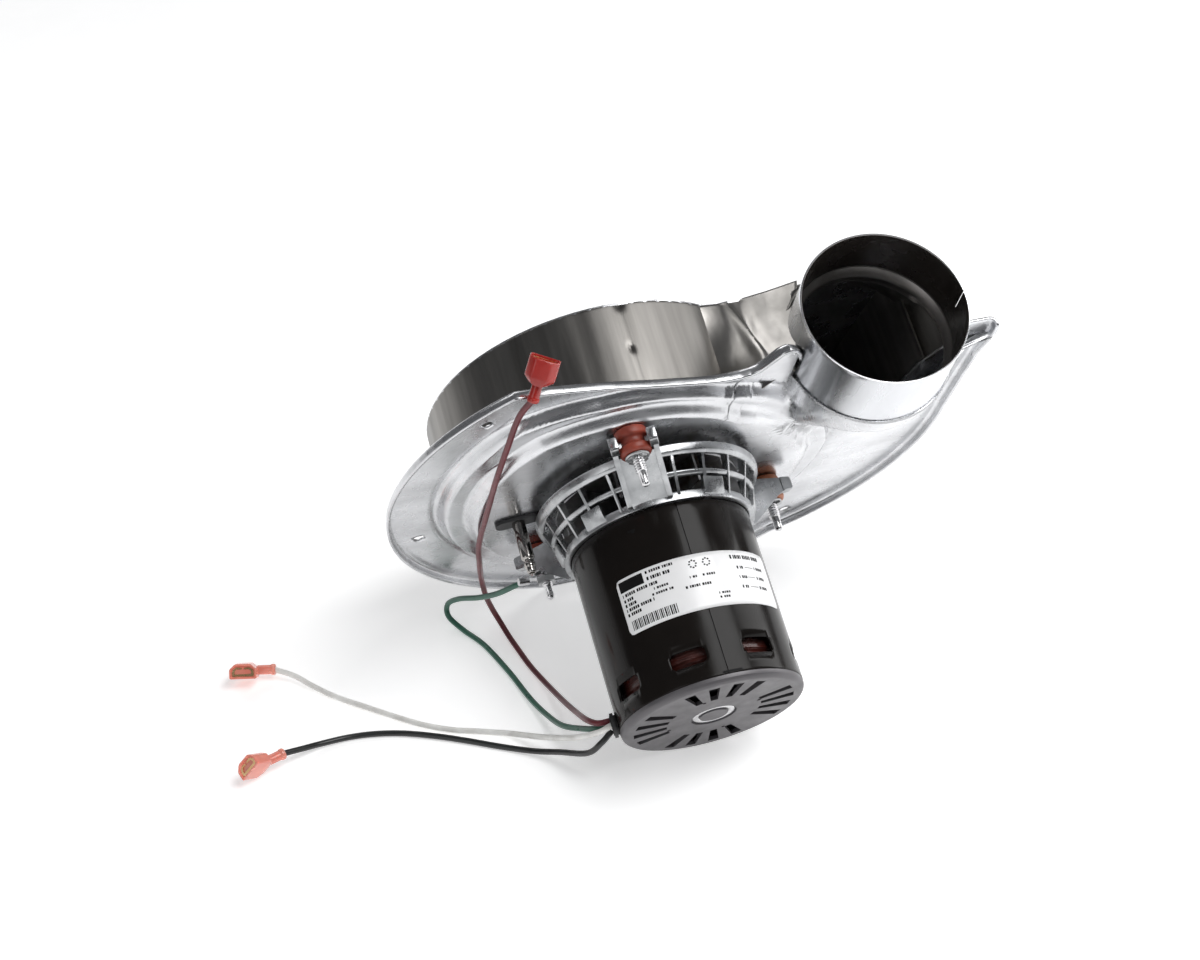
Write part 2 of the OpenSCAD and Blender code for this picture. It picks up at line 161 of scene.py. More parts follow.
def prism(outline, low, high, rim=0.0):
    """An anticlockwise outline raised from low to high, with its two ends closed. rim pulls the
    outline in by that much over the last of its height at both ends, as a soft edge."""
    q = np.asarray(outline, float)
    n = len(q)
    centre = q.mean(0)
    shrink = 1 - rim / max(np.abs(q - centre).max(), 1e-6)
    layers = [(low, 1.0), (high, 1.0)]
    if rim:
        layers = [(low, shrink), (low + rim, 1.0), (high - rim, 1.0), (high, shrink)]
    pts = np.concatenate(
        [np.column_stack([centre + (q - centre) * s, np.full(n, z)]) for z, s in layers]
    )
    m = len(layers)
    faces = [
        [k * n + i, k * n + (i + 1) % n, (k + 1) * n + (i + 1) % n, (k + 1) * n + i]
        for k in range(m - 1)
        for i in range(n)
    ]
    faces += [list(range(n - 1, -1, -1)), list(range((m - 1) * n, m * n))]
    return pts, faces


def moved(part, matrix):
    """A part with its points multiplied by a 3x3 or 4x4 matrix."""
    m = np.asarray(matrix, float)
    p = np.asarray(part[0], float)
    return (p @ m[:3, :3].T + (m[:3, 3] if m.shape[0] == 4 else 0), part[1])


def turned(part, degrees):
    """A part turned about the shaft's axis."""
    a = math.radians(degrees)
    return moved(part, [[math.cos(a), -math.sin(a), 0], [math.sin(a), math.cos(a), 0], [0, 0, 1]])


def upright(part):
    """A prism drawn in (radius, z) stood up in the plane through the axis: its thickness runs round."""
    return moved(part, [[1, 0, 0], [0, 0, -1], [0, 1, 0]])


def shifted(part, x, y, z=0.0):
    """A part moved by x, y and z."""
    return (np.asarray(part[0], float) + [x, y, z], part[1])


def ring_of(pairs):
    """A profile rounded a little at its corners."""
    return rounded(pairs, 0.35, 3)


def build(name, parts, material, body=HOUSING, nodes=(), sharp=35.0, in_frame=False):
    """Joins parts of (points, faces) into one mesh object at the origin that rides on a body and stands
    for CAD nodes. A part's third value, if it has one, is its material's number.
    Points are in machine millimetres, or in the frame's metres with in_frame."""
    points, faces, which, base = [], [], [], 0
    for k, part in enumerate(parts):
        p, f = part[0], part[1]
        points.append(np.asarray(p, float))
        faces += [[base + v for v in face] for face in f]
        which += [part[2] if len(part) > 2 else 0] * len(f)
        base += len(p)
    points = np.concatenate(points)
    if not in_frame:
        points = placed(points)
    mesh = bpy.data.meshes.new(name)
    mesh.from_pydata(points.tolist(), [], faces)
    mesh.update()
    mesh.validate()
    mesh.shade_smooth()
    mesh.set_sharp_from_angle(angle=math.radians(sharp))
    obj = bpy.data.objects.new(name, mesh)
    bpy.context.scene.collection.objects.link(obj)
    for m in material if isinstance(material, (list, tuple)) else [material]:
        mesh.materials.append(m)
    if len(which) == len(mesh.polygons):
        mesh.polygons.foreach_set("material_index", which)
    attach(obj, body)
    if nodes:
        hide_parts(*nodes)
    return obj


def add_modifier(obj, kind, **values):
    """A modifier with its values set."""
    m = obj.modifiers.new(kind.title(), kind)
    for key, value in values.items():
        setattr(m, key, value)
    return m


# ---------------------------------------------------------------- materials

TILT = math.atan2(AXIS_Y[2], AXIS_Y[1])


def machine_mapping(nodes, links, scale):
    """Object coordinates turned into the machine frame and stretched by scale on each axis."""
    coords = nodes.new("ShaderNodeTexCoord")
    turn = nodes.new("ShaderNodeMapping")
    turn.vector_type = "TEXTURE"
    turn.inputs["Location"].default_value = ORIGIN.tolist()
    turn.inputs["Rotation"].default_value = (TILT, 0, 0)
    links.new(coords.outputs["Object"], turn.inputs["Vector"])
    stretch = nodes.new("ShaderNodeMapping")
    stretch.inputs["Scale"].default_value = scale
    links.new(turn.outputs["Vector"], stretch.inputs["Vector"])
    return stretch.outputs["Vector"]


def noise(nodes, links, vector, scale, detail=4.0, rough=0.55):
    """A noise texture read at a vector."""
    n = nodes.new("ShaderNodeTexNoise")
    n.inputs["Scale"].default_value = scale
    n.inputs["Detail"].default_value = detail
    n.inputs["Roughness"].default_value = rough
    links.new(vector, n.inputs["Vector"])
    return n.outputs["Fac"]


def ramp(nodes, links, value, stops):
    """A colour ramp over a value, from (position, colour) stops."""
    r = nodes.new("ShaderNodeValToRGB")
    while len(r.color_ramp.elements) < len(stops):
        r.color_ramp.elements.new(0.5)
    for element, (position, colour) in zip(r.color_ramp.elements, stops):
        element.position = position
        element.color = (*colour, 1.0)
    links.new(value, r.inputs["Fac"])
    return r.outputs["Color"]


def span(nodes, links, value, low, high, source=(0.3, 0.7)):
    """A value from source's range moved to low..high."""
    m = nodes.new("ShaderNodeMapRange")
    m.inputs["From Min"].default_value, m.inputs["From Max"].default_value = source
    m.inputs["To Min"].default_value, m.inputs["To Max"].default_value = low, high
    links.new(value, m.inputs["Value"])
    return m.outputs["Result"]


def finish_of(name, dark, light, rough, metallic=0.0, grain=(60.0, (1, 1, 1)), mottle=(25.0, (1, 1, 1)),
              bumps=(), sockets=None, spots=None):
    """A finish: colour runs from dark to light over one noise, roughness over another, and each bump is
    (scale, stretch, strength, depth). sockets sets more of the shader's own sockets. spots is
    (scale, low, high, colour) for blotches of another colour."""
    found = bpy.data.materials.get("fan_" + name)
    if found:
        return found
    mat = bpy.data.materials.new("fan_" + name)
    mat.use_nodes = True
    nodes, links = mat.node_tree.nodes, mat.node_tree.links
    shader = nodes["Principled BSDF"]
    shader.inputs["Metallic"].default_value = metallic
    for key, value in (sockets or {}).items():
        shader.inputs[key].default_value = value
    base = noise(nodes, links, machine_mapping(nodes, links, mottle[1]), mottle[0])
    colour = ramp(nodes, links, base, [(0.3, dark), (0.7, light)])
    if spots:
        fac = noise(nodes, links, machine_mapping(nodes, links, (1, 1, 1)), spots[0], 3.0, 0.6)
        mask = ramp(nodes, links, fac, [(spots[1], (0, 0, 0)), (spots[2], (1, 1, 1))])
        mix = nodes.new("ShaderNodeMix")
        mix.data_type = "RGBA"
        links.new(mask, mix.inputs["Factor"])
        links.new(colour, mix.inputs["A"])
        mix.inputs["B"].default_value = (*spots[3], 1)
        colour = mix.outputs["Result"]
    links.new(colour, shader.inputs["Base Color"])
    fine = noise(nodes, links, machine_mapping(nodes, links, grain[1]), grain[0])
    links.new(span(nodes, links, fine, rough[0], rough[1]), shader.inputs["Roughness"])
    last = None
    for scale, stretch, strength, depth in bumps:
        b = nodes.new("ShaderNodeBump")
        b.inputs["Strength"].default_value = strength
        b.inputs["Distance"].default_value = depth
        links.new(noise(nodes, links, machine_mapping(nodes, links, stretch), scale), b.inputs["Height"])
        if last:
            links.new(last, b.inputs["Normal"])
        last = b.outputs["Normal"]
    if last:
        links.new(last, shader.inputs["Normal"])
    return mat


def shade(colour, factor):
    """A colour made darker or lighter."""
    return tuple(min(1.0, c * factor) for c in colour)


def zinc_plate():
    zinc = tuple(bpy.context.scene.fan_housing.zinc)
    return finish_of("zinc_plate", shade(zinc, 0.84), shade(zinc, 1.14), (0.20, 0.34), 1.0,
                     grain=(60.0, (1, 1, 8)), mottle=(24.0, (1, 2.2, 1)),
                     bumps=[(18.0, (1, 1, 1), 0.10, 0.0008), (420.0, (0.3, 2.5, 1), 0.07, 0.0002)])


def drum_steel():
    return finish_of("drum_steel", (0.12, 0.115, 0.108), (0.30, 0.288, 0.272), (0.30, 0.46), 1.0,
                     grain=(110.0, (1, 1, 0.08)), mottle=(70.0, (1, 1, 0.06)),
                     bumps=[(330.0, (1, 1, 0.04), 0.16, 0.0003), (30.0, (1, 1, 0.4), 0.22, 0.0011)])


def folded_steel():
    return finish_of("folded_steel", (0.30, 0.288, 0.27), (0.52, 0.50, 0.475), (0.26, 0.42), 1.0,
                     grain=(110.0, (1, 1, 0.3)), mottle=(60.0, (1, 1, 0.3)),
                     bumps=[(330.0, (1, 1, 0.2), 0.12, 0.0002), (30.0, (1, 1, 0.5), 0.15, 0.0008)])


def collar_steel():
    return finish_of("collar_steel", (0.58, 0.59, 0.61), (0.74, 0.75, 0.77), (0.19, 0.33), 1.0,
                     grain=(80.0, (1, 0.2, 1)), mottle=(30.0, (1, 0.3, 1)),
                     bumps=[(26.0, (1, 0.6, 1), 0.18, 0.0010)])


# Painted shade: near-black for the inner sides of the throat and the collar, where shadow falls
def inner_painted_shade():
    return finish_of("inner_painted_shade", (0.015, 0.012, 0.011), (0.030, 0.025, 0.022), (0.16, 0.34), 0.0,
                     grain=(70.0, (1, 1, 1)), bumps=[(240.0, (1, 1, 1), 0.10, 0.0002)],
                     sockets={"Coat Weight": 0.35, "Coat Roughness": 0.2})


# Painted highlight: a lighter metal on the collar's inner bead, for the reflection band inside the collar
def bead_painted_highlight():
    return finish_of("bead_painted_highlight", (0.24, 0.23, 0.22), (0.42, 0.40, 0.39), (0.30, 0.45), 0.9,
                     grain=(70.0, (1, 1, 1)), bumps=[(240.0, (1, 1, 1), 0.12, 0.0002)])


def cast_aluminium():
    return finish_of("cast_aluminium", (0.26, 0.268, 0.275), (0.56, 0.57, 0.58), (0.20, 0.38), 1.0,
                     grain=(140.0, (1, 1, 1)), mottle=(60.0, (1, 1, 1)),
                     bumps=[(600.0, (1, 1, 1), 0.20, 0.0002), (90.0, (1, 1, 1), 0.28, 0.0009)])


def black_enamel():
    ink = tuple(bpy.context.scene.fan_motor.enamel)
    return finish_of("black_enamel", shade(ink, 0.8), shade(ink, 1.5), (0.10, 0.22), 0.0,
                     grain=(40.0, (1, 1, 1)), bumps=[(170.0, (1, 1, 0.6), 0.05, 0.0004)],
                     sockets={"Specular IOR Level": 0.13})


def cap_paint():
    grey = tuple(bpy.context.scene.fan_motor.cap_paint)
    return finish_of("cap_paint", shade(grey, 0.88), shade(grey, 1.14), (0.34, 0.5), 0.35,
                     grain=(120.0, (1, 1, 1)), bumps=[(900.0, (1, 1, 1), 0.14, 0.0002)])


def bright_steel():
    return finish_of("bright_steel", (0.56, 0.56, 0.57), (0.74, 0.74, 0.75), (0.16, 0.32), 1.0,
                     grain=(200.0, (1, 1, 3)), bumps=[(500.0, (1, 1, 3), 0.10, 0.0002)])


def dull_steel():
    return finish_of("dull_steel", (0.34, 0.345, 0.35), (0.52, 0.525, 0.53), (0.32, 0.5), 1.0,
                     grain=(160.0, (1, 1, 1)), bumps=[(420.0, (1, 1, 1), 0.18, 0.0002)])


def black_oxide():
    return finish_of("black_oxide", (0.03, 0.03, 0.032), (0.07, 0.07, 0.075), (0.35, 0.5), 0.8,
                     bumps=[(500.0, (1, 1, 1), 0.15, 0.0002)])


def red_silicone():
    return finish_of("red_silicone", (0.15, 0.020, 0.010), (0.32, 0.052, 0.026), (0.38, 0.6),
                     mottle=(150.0, (1, 1, 1)), bumps=[(300.0, (1, 1, 1), 0.25, 0.0003)],
                     sockets={"Subsurface Weight": 0.15, "Subsurface Radius": (0.002, 0.0008, 0.0005)})


def orange_silicone():
    return finish_of("orange_silicone", (0.38, 0.12, 0.05), (0.62, 0.24, 0.12), (0.42, 0.6),
                     mottle=(150.0, (1, 1, 1)), bumps=[(300.0, (1, 1, 1), 0.25, 0.0003)])


def black_nickel():
    return finish_of("black_nickel", (0.30, 0.285, 0.27), (0.46, 0.44, 0.42), (0.06, 0.14), 1.0,
                     grain=(60.0, (1, 1, 2)), bumps=[(160.0, (1, 1, 1), 0.05, 0.0003)])


def black_rubber():
    return finish_of("black_rubber", (0.018, 0.018, 0.019), (0.05, 0.05, 0.052), (0.42, 0.62),
                     bumps=[(500.0, (1, 1, 1), 0.3, 0.0003)])


def copper_wire():
    return finish_of("copper_wire", (0.016, 0.004, 0.003), (0.085, 0.014, 0.009), (0.2, 0.36), 0.2,
                     mottle=(90.0, (1, 1, 8)), bumps=[(130.0, (0.4, 0.4, 14), 0.8, 0.0009)],
                     sockets={"Coat Weight": 0.5, "Coat Roughness": 0.15})


def laminations():
    return finish_of("laminations", (0.16, 0.16, 0.165), (0.34, 0.34, 0.35), (0.35, 0.5), 1.0,
                     mottle=(60.0, (0.3, 0.3, 30)), bumps=[(60.0, (0.2, 0.2, 40), 0.6, 0.0004)])


def sintered_bronze():
    return finish_of("sintered_bronze", (0.36, 0.22, 0.09), (0.56, 0.38, 0.18), (0.34, 0.5), 1.0,
                     bumps=[(800.0, (1, 1, 1), 0.2, 0.0002)])


def stamped_brass():
    return finish_of("stamped_brass", (0.80, 0.50, 0.22), (0.95, 0.70, 0.40), (0.18, 0.34), 1.0,
                     mottle=(200.0, (1, 1, 1)), bumps=[(500.0, (1, 1, 1), 0.1, 0.0002)])


def wheel_steel():
    return finish_of("wheel_steel", (0.36, 0.36, 0.365), (0.58, 0.58, 0.585), (0.28, 0.46), 1.0,
                     mottle=(60.0, (1, 1, 1)), bumps=[(300.0, (1, 1, 1), 0.12, 0.0003)],
                     spots=(45.0, 0.56, 0.68, (0.22, 0.17, 0.13)))


def label_film():
    return finish_of("label_film", (0.80, 0.80, 0.805), (0.90, 0.90, 0.905), (0.32, 0.42),
                     bumps=[(90.0, (1, 1, 1), 0.05, 0.0003)], sockets={"Coat Weight": 0.2})


def label_ink():
    return finish_of("label_ink", (0.006, 0.006, 0.006), (0.014, 0.014, 0.015), (0.4, 0.5),
                     bumps=[(900.0, (1, 1, 1), 0.1, 0.0001)],
                     sockets={"Specular IOR Level": 0.05})


def insulation(name, colour):
    return finish_of(name, shade(colour, 0.85), shade(colour, 1.18), (0.26, 0.42),
                     mottle=(110.0, (1, 1, 1)), bumps=[(260.0, (1, 1, 1), 0.10, 0.0003)],
                     sockets={"Coat Weight": 0.12, "Coat Roughness": 0.25})


# painted_glow is an emission strength in the nylon's light colour: painted light
def nylon(name, dark, light, through, painted_glow=0.0):
    return finish_of(name, dark, light, (0.16, 0.30), mottle=(120.0, (1, 1, 1)),
                     bumps=[(260.0, (1, 1, 1), 0.08, 0.0003)],
                     sockets={"Transmission Weight": through, "IOR": 1.5, "Subsurface Weight": 0.2,
                              "Subsurface Radius": (0.004, 0.0012, 0.001), "Coat Weight": 0.2,
                              "Emission Color": (*light, 1), "Emission Strength": painted_glow})


def floor_paint():
    return finish_of("floor_paint", (0.86, 0.86, 0.86), (0.90, 0.90, 0.90), (0.55, 0.7), mottle=(3.0, (1, 1, 1)),
                     sockets={"Emission Color": (1, 1, 1, 1), "Emission Strength": 0.45})


# ---------------------------------------------------------------- the front plate

FOOT_Y = -115.0
FLANGE_R = 119.0
HOLES = [(-76.8, 71.6), (-102.0, -32.2), (-24.5, -106.2), (91.0, -85.0), (139.0, 25.0)]
HOLE_R = 2.6
COLLAR_X, COLLAR_Z = 100.0, -6.7
THROAT_END = 66.0
PLATE_OPENING_R, LIP_BEND = 13.0, 2.0


def plate_outline():
    """The plate's edge, anticlockwise from the upper left: an arc, a straight foot, a wide arc on the
    right, the notch around the collar and the crimped top edge. The flag after each point says
    whether the lip stands on the edge that starts there."""
    left = [(*p, 1) for p in arc((0, 0), FLANGE_R, 125, 194.9, 26)]
    left += [(*p, 1) for p in arc((0, 0), FLANGE_R, 197.5, 255.1, 22)]
    foot = [(70.0, FOOT_Y, 1)]
    right = [(*p, 1) for p in arc((28, 7), 122, -62, 2, 26)]
    tip = [(151, 40, 1), (152, 61, 1), (156, 77, 1), (155, 83, 1), (139.6, 84, 0)]
    notch = [(139.6, THROAT_END, 0), (61.0, THROAT_END, 0)]
    top = [(61, 86, 1), (60, 90.5, 1), (57.4, 94.2, 1), (54.6, 95.6, 1), (52.1, 94.2, 1), (49.6, 90.2, 1),
           (46.8, 86, 1), (43.9, 82.4, 1), (40.4, 80.2, 1), (36, 79.2, 1), (30, 78.9, 1), (24, 79.2, 1),
           (12.5, 81.4, 1), (1.1, 84, 1), (-11, 87.2, 1), (-24, 90.6, 1), (-38, 93.6, 1), (-54, 96.6, 1)]
    return np.array(left + foot + right + tip + notch + top)


def step(x):
    """0 below 0, 1 above 1, and a smooth curve between."""
    t = np.clip(x, 0, 1)
    return t * t * t * (t * (6 * t - 15) + 10)


def soft_max(a, b, k):
    """The larger of a and b, rounded over k where they meet."""
    return 0.5 * (a + b + np.sqrt((a - b) ** 2 + k * k))


def plate_height(x, y):
    """Height of the plate's face: two rolled steps up round the motor, whose radii shrink towards the
    top, joined smoothly to the half barrel over the throat, which grows into the collar."""
    r = np.hypot(x, y)
    a = np.degrees(np.arctan2(y, x)) % 360
    near = np.interp(a, [0, 30, 65, 81, 95, 110, 121, 133, 360], [94, 84, 72.5, 74.5, 78, 82, 88, 94, 94])
    far = np.interp(a, [0, 30, 55, 78, 111, 122, 132, 360], [82, 73, 66, 68.5, 75.5, 79, 82, 82])
    rise = 5.6 * step((near + 1.6 - r) / 4.6) + 5.4 * step((far + 2.6 - r) / 7.0)
    groove = 0.9 * np.exp(-(((r - near - 2.2) / 1.5) ** 2))
    run = np.clip((y - 6.0) / (THROAT_END - 8.0), 0, 1)
    high = 8.0 + 30.4 * step(run * 0.93 + 0.035)
    half = 37.0 + 1.4 * run
    middle = 93.0 + 7.0 * step(run * 1.15)
    u = np.clip(1 - ((x - middle) / half) ** 2, 0, 1)
    barrel = COLLAR_Z + high * np.sqrt(u) * step((y - 0.0) / 26.0)
    return soft_max(rise - groove, barrel, 4.0) - 0.35


def edge_distance(angle, outline):
    """For each angle, the distance from the shaft to the first edge that the ray meets, and that
    edge's lip flag: the ray and the edge are solved as two lines."""
    d = np.stack([np.cos(angle), np.sin(angle)], -1)[:, None]
    a = outline[None, :, :2]
    b = np.roll(outline, -1, axis=0)[None, :, :2]
    e = b - a
    cross = d[..., 0] * e[..., 1] - d[..., 1] * e[..., 0]
    cross = np.where(np.abs(cross) < 1e-9, 1e-9, cross)
    t = (a[..., 0] * e[..., 1] - a[..., 1] * e[..., 0]) / cross
    s = (a[..., 0] * d[..., 1] - a[..., 1] * d[..., 0]) / cross
    t = np.where((t > 1) & (s >= -1e-6) & (s <= 1 + 1e-6), t, 1e9)
    k = t.argmin(1)
    return t[np.arange(len(angle)), k], outline[k, 2]


def plate_surface():
    """Rays from the motor's opening out to the plate's edge, and past it the lip: a quarter circle
    turned up and a short rise. Points near a screw hole are drawn onto its circle, and the faces
    inside it are left out."""
    outline = plate_outline()
    corners = np.arctan2(outline[:, 1], outline[:, 0])
    even = np.linspace(-math.pi, math.pi, 420, endpoint=False)
    angle = np.unique(np.round(np.concatenate([even, corners]), 5))
    edge, lip = edge_distance(angle + 1e-6, outline)
    share = np.concatenate([np.linspace(0, 0.5, 14, endpoint=False), np.linspace(0.5, 1, 58)])
    bend = LIP_BEND
    sheet = bpy.context.scene.fan_housing.sheet
    reach = edge - np.where(lip > 0, bend + sheet, 0)
    r = PLATE_OPENING_R + (reach[:, None] - PLATE_OPENING_R) * share[None]
    x, y = r * np.cos(angle)[:, None], r * np.sin(angle)[:, None]
    z = plate_height(x, y)
    curl = [(bend * math.sin(t), bend * (1 - math.cos(t))) for t in np.radians([22, 45, 67, 90])]
    top = bpy.context.scene.fan_housing.lip
    curl += [(bend, bend + (top - bend) * 0.5), (bend, top)]
    for out, up in curl:
        rr = reach + np.where(lip > 0, out, out * 0.05)
        x = np.column_stack([x, rr * np.cos(angle)])
        y = np.column_stack([y, rr * np.sin(angle)])
        z = np.column_stack([z, z[:, len(share) - 1] + np.where(lip > 0, up, 0)])
    pts = np.stack([x, y, z], -1)
    drop = np.zeros(pts.shape[:2], bool)
    for hx, hy in HOLES:
        away = np.hypot(pts[..., 0] - hx, pts[..., 1] - hy)
        close = away < HOLE_R + 0.95
        drop |= away < HOLE_R - 0.4
        grow = np.where(close & ~drop, HOLE_R / np.maximum(away, 1e-6), 1.0)
        pts[..., 0] = hx + (pts[..., 0] - hx) * np.where(close & ~drop, grow, 1)
        pts[..., 1] = hy + (pts[..., 1] - hy) * np.where(close & ~drop, grow, 1)
    p, f = grid(pts, around=True)
    gone = drop.reshape(-1)
    faces = np.array(f)
    faces = faces[~gone[faces].any(1)][:, ::-1]
    return p, faces.tolist()


def tip_strip():
    """The flat strip of the plate on the far side of the collar, with its lip: a grid between the
    collar's side and the plate's edge."""
    v = np.linspace(0, 1, 16)
    y = 56.0 + 27.5 * v
    far = np.interp(y, [56, 61, 77, 83.5], [151.8, 152, 156, 155.2])
    u = np.linspace(0, 1, 12)
    x = 138.0 + (far[:, None] - 3.2 - 138.0) * u[None]
    z = np.zeros_like(x) - 0.2 + 0.05 * u[None]
    for out, up in [(0.8, 0.15), (1.4, 0.6), (1.85, 1.2), (2.0, 2.0), (2.0, 4.0)]:
        x = np.column_stack([x, far - 3.2 + out])
        z = np.column_stack([z, np.full(len(y), up - 0.15)])
    pts = np.stack([x, np.tile(y[:, None], (1, x.shape[1])), z], -1)
    p, f = grid(pts)
    return p, [q[::-1] for q in f]


def flange_web():
    """The flange under the half barrel's right side: a flat grid from the scroll wall out to the barrel's
    edge, between the two lines x(y)."""
    y = np.linspace(3, 66, 30)[:, None]
    inner = np.interp(y, [3, 22, 42, 54, 62, 66], [117.0, 119.0, 122.5, 126.0, 132.0, 135.5])
    x = inner + (139.4 - inner) * np.linspace(0, 1, 8)[None]
    return grid(np.stack([x, y + 0 * x, np.full_like(x, -0.5)], -1))


class FAN_OT_front_plate(bpy.types.Operator):
    """Stamped front plate: flange with a turned-up lip, steps around the motor and the throat's half barrel"""

    bl_idname = "fan.front_plate"
    bl_label = "Front plate"

    def execute(self, context):
        plate = build("housing_plate", [plate_surface(), tip_strip(), flange_web()], zinc_plate(),
                      nodes=["housing_plate"], sharp=50)
        add_modifier(plate, "SOLIDIFY", thickness=context.scene.fan_housing.sheet / 1000, offset=-1.0)
        return {"FINISHED"}


# ---------------------------------------------------------------- scroll, throat and collar

TONGUE_A, TONGUE_R, GAIN = 60.0, 67.0, 0.165
SEAM_A, DIMPLE_Z = 95.0, -23.0
THROAT_R = 38.4
SLIT_A, SLIT_HALF_A, SLIT_L, BEAD_END = -1.5, 1.2, 13, 74.5


def scroll_line(n=170):
    """The scroll's inside in plan: from the tongue an Archimedean spiral, whose radius grows evenly
    with the angle, and then a straight run up to the throat."""
    a = np.radians(np.linspace(TONGUE_A, 360, n))
    r = TONGUE_R + GAIN * (np.degrees(a) - TONGUE_A)
    spiral = np.column_stack([r * np.cos(a), r * np.sin(a)])
    head = np.array([[47.0, 57.0], [44.6, 56.1], [42.2, 55.8], [39.6, 56.2], [36.6, 57.0]])
    tail = np.array([[118.2, 11.0], [119.6, 22.0], [121.2, 32.0], [123.0, 42.0], [125.0, 50.0], [127.0, 58.0]])
    return np.concatenate([head, spiral, tail])


def outward(line):
    """Unit normals to the right of a line's direction, which is outside for an anticlockwise line."""
    t = np.gradient(line, axis=0)
    t /= np.linalg.norm(t, axis=1)[:, None]
    return np.column_stack([t[:, 1], -t[:, 0]])


def scroll_band(depth):
    """The scroll's wall: a closed section, 1 mm thick with a rounded back edge, carried along the scroll
    line. The lap seam, its clinch dimple and the notch behind it are bell curves pushed inwards."""
    line = scroll_line(420)
    out = outward(line)
    z = np.linspace(-0.6, -depth + 1.2, 31)
    outer = [(1.0, v) for v in z] + [(1.0, -depth + 0.3), (0.95, -depth - 0.6), (0.6, -depth - 1.1)]
    inner = [(0.1, -depth - 1.1), (0.0, -depth)] + [(0.0, v) for v in z[::-5]]
    section = np.array(outer + inner)
    pts = np.stack([
        line[:, None, 0] + out[:, None, 0] * section[None, :, 0],
        line[:, None, 1] + out[:, None, 1] * section[None, :, 0],
        np.tile(section[:, 1], (len(line), 1)),
    ], -1)
    reach = np.concatenate([[0], np.cumsum(np.linalg.norm(np.diff(line, axis=0), axis=1))])
    turn = np.degrees(np.arctan2(line[:, 1], line[:, 0])) % 360
    away = reach - reach[np.abs(turn - SEAM_A).argmin()]
    seam = 0.10 * np.exp(-((away / 0.5) ** 2))[:, None] * np.ones(len(section))
    dimple = 0.95 * np.exp(-((away[:, None] / 1.0) ** 2) - ((section[None, :, 1] - DIMPLE_Z) / 1.8) ** 2)
    notch = 1.0 * np.exp(-((away[:, None] / 2.4) ** 2) - ((section[None, :, 1] + depth + 0.6) / 2.4) ** 2)
    pts[..., :2] -= out[:, None] * ((seam + dimple + notch) * (section[None, :, 0] > 0.5))[..., None]
    p, f = grid(pts, along=True)
    n = len(section)
    m = len(line)
    return p, f + [list(range(n)), [(m - 1) * n + k for k in range(n - 1, -1, -1)]]


def throat_shell():
    """The throat behind the plate: a section that starts as the left, back and right sides of a box and
    ends as the back half of the collar's circle, blended along the run, with two creases folded into
    its left side. phi runs from the left rim round the back to the right rim."""
    t = np.linspace(0, 1, 34)
    rim = 12.0 * t[:, None]
    phi = np.radians(180 - rim + (180 + 2 * rim) * np.linspace(0, 1, 84)[None])
    c, s = np.cos(phi), np.sin(phi)
    k = 1.0 / np.maximum(np.abs(c), np.abs(s) * 0.9)
    box_x, box_z = 87.0 + 41.0 * c * np.minimum(k, 1.18), -0.5 + 45.6 * s * np.minimum(k, 1.18)
    box_x, box_z = np.clip(box_x, 46.0, 128.0), np.clip(box_z, -46.0, 3.0)
    ring_x, ring_z = COLLAR_X + THROAT_R * c, COLLAR_Z + THROAT_R * s
    w = step(t)[:, None]
    x = box_x * (1 - w) + ring_x * w
    z = box_z * (1 - w) + ring_z * w
    y = 53.0 + 18.0 * t[:, None] + np.zeros_like(x)
    left = step((math.radians(250) - phi) / math.radians(40))
    fold = np.sin(phi * 9.0 + t[:, None] * 2.4) * np.sin(np.pi * t)[:, None]
    x = x - 1.6 * left * fold
    y = y + 1.8 * left * np.abs(fold)
    p, f = grid(np.stack([x, y, z], -1))
    return p, [q[::-1] for q in f]


def throat_cheek():
    """The creased sheet from the tongue to the collar: a ruled surface between its back edge and its
    front edge, with two folds that fade towards both edges."""
    u = np.linspace(0, 1, 44)
    back = np.column_stack([np.interp(u, [0, 0.25, 0.5, 0.75, 1], [33, 44, 54, 66, 80]),
                            np.interp(u, [0, 0.25, 0.5, 0.75, 1], [58.6, 56.6, 57.2, 59.6, 64.0]),
                            np.interp(u, [0, 0.5, 1], [-45.5, -46.0, -46.5])])
    front = np.column_stack([np.interp(u, [0, 0.3, 0.6, 1], [33, 39, 47, 61]),
                             np.interp(u, [0, 0.3, 0.6, 1], [58.6, 68, 79, 84]),
                             np.interp(u, [0, 0.5, 1], [-1.5, -1.2, -1.5])])
    v = np.linspace(0, 1, 40)[:, None, None]
    pts = back[None] * (1 - v) + front[None] * v
    vv, uu = v[..., 0], u[None]
    fold = np.exp(-(((uu - 0.30 - 0.32 * vv) / 0.055) ** 2))
    ridge = fold - 0.9 * np.exp(-(((uu - 0.44 - 0.26 * vv) / 0.06) ** 2))
    pts[..., 1] += 2.4 * ridge * np.sin(np.pi * vv) ** 0.7
    pts[..., 0] += 0.8 * ridge * np.sin(np.pi * vv)
    return grid(pts)


def collar_tube(r, low, high):
    """The collar: a wall 1 mm thick as (radius, height), with a rounded mouth and an inner bead,
    and the number of its first point on the inside."""
    outer = [(r - 0.4, low - 4.0), (r, low - 3.0), (r + 0.1, low), (r, low + 1.6)]
    outer += [(r, y) for y in np.linspace(low + 4, high - 0.5, 14)]
    mouth = [(r - 0.12, high - 0.12), (r - 0.5, high), (r - 0.88, high - 0.12)]
    inner = [(r - 1, y) for y in np.linspace(high - 0.5, low + 7, 14)]
    inner += [(r - 1.0, low + 8)]
    inner += [(r - 1.0 - 2.4 * math.sin(math.pi * k / 10), low + 8 - k * 0.9) for k in range(1, 10)]
    inner += [(r - 1.2, low - 3.0), (r - 1.2, low - 4.0)]
    return np.array(outer + mouth + inner), len(outer) + 1


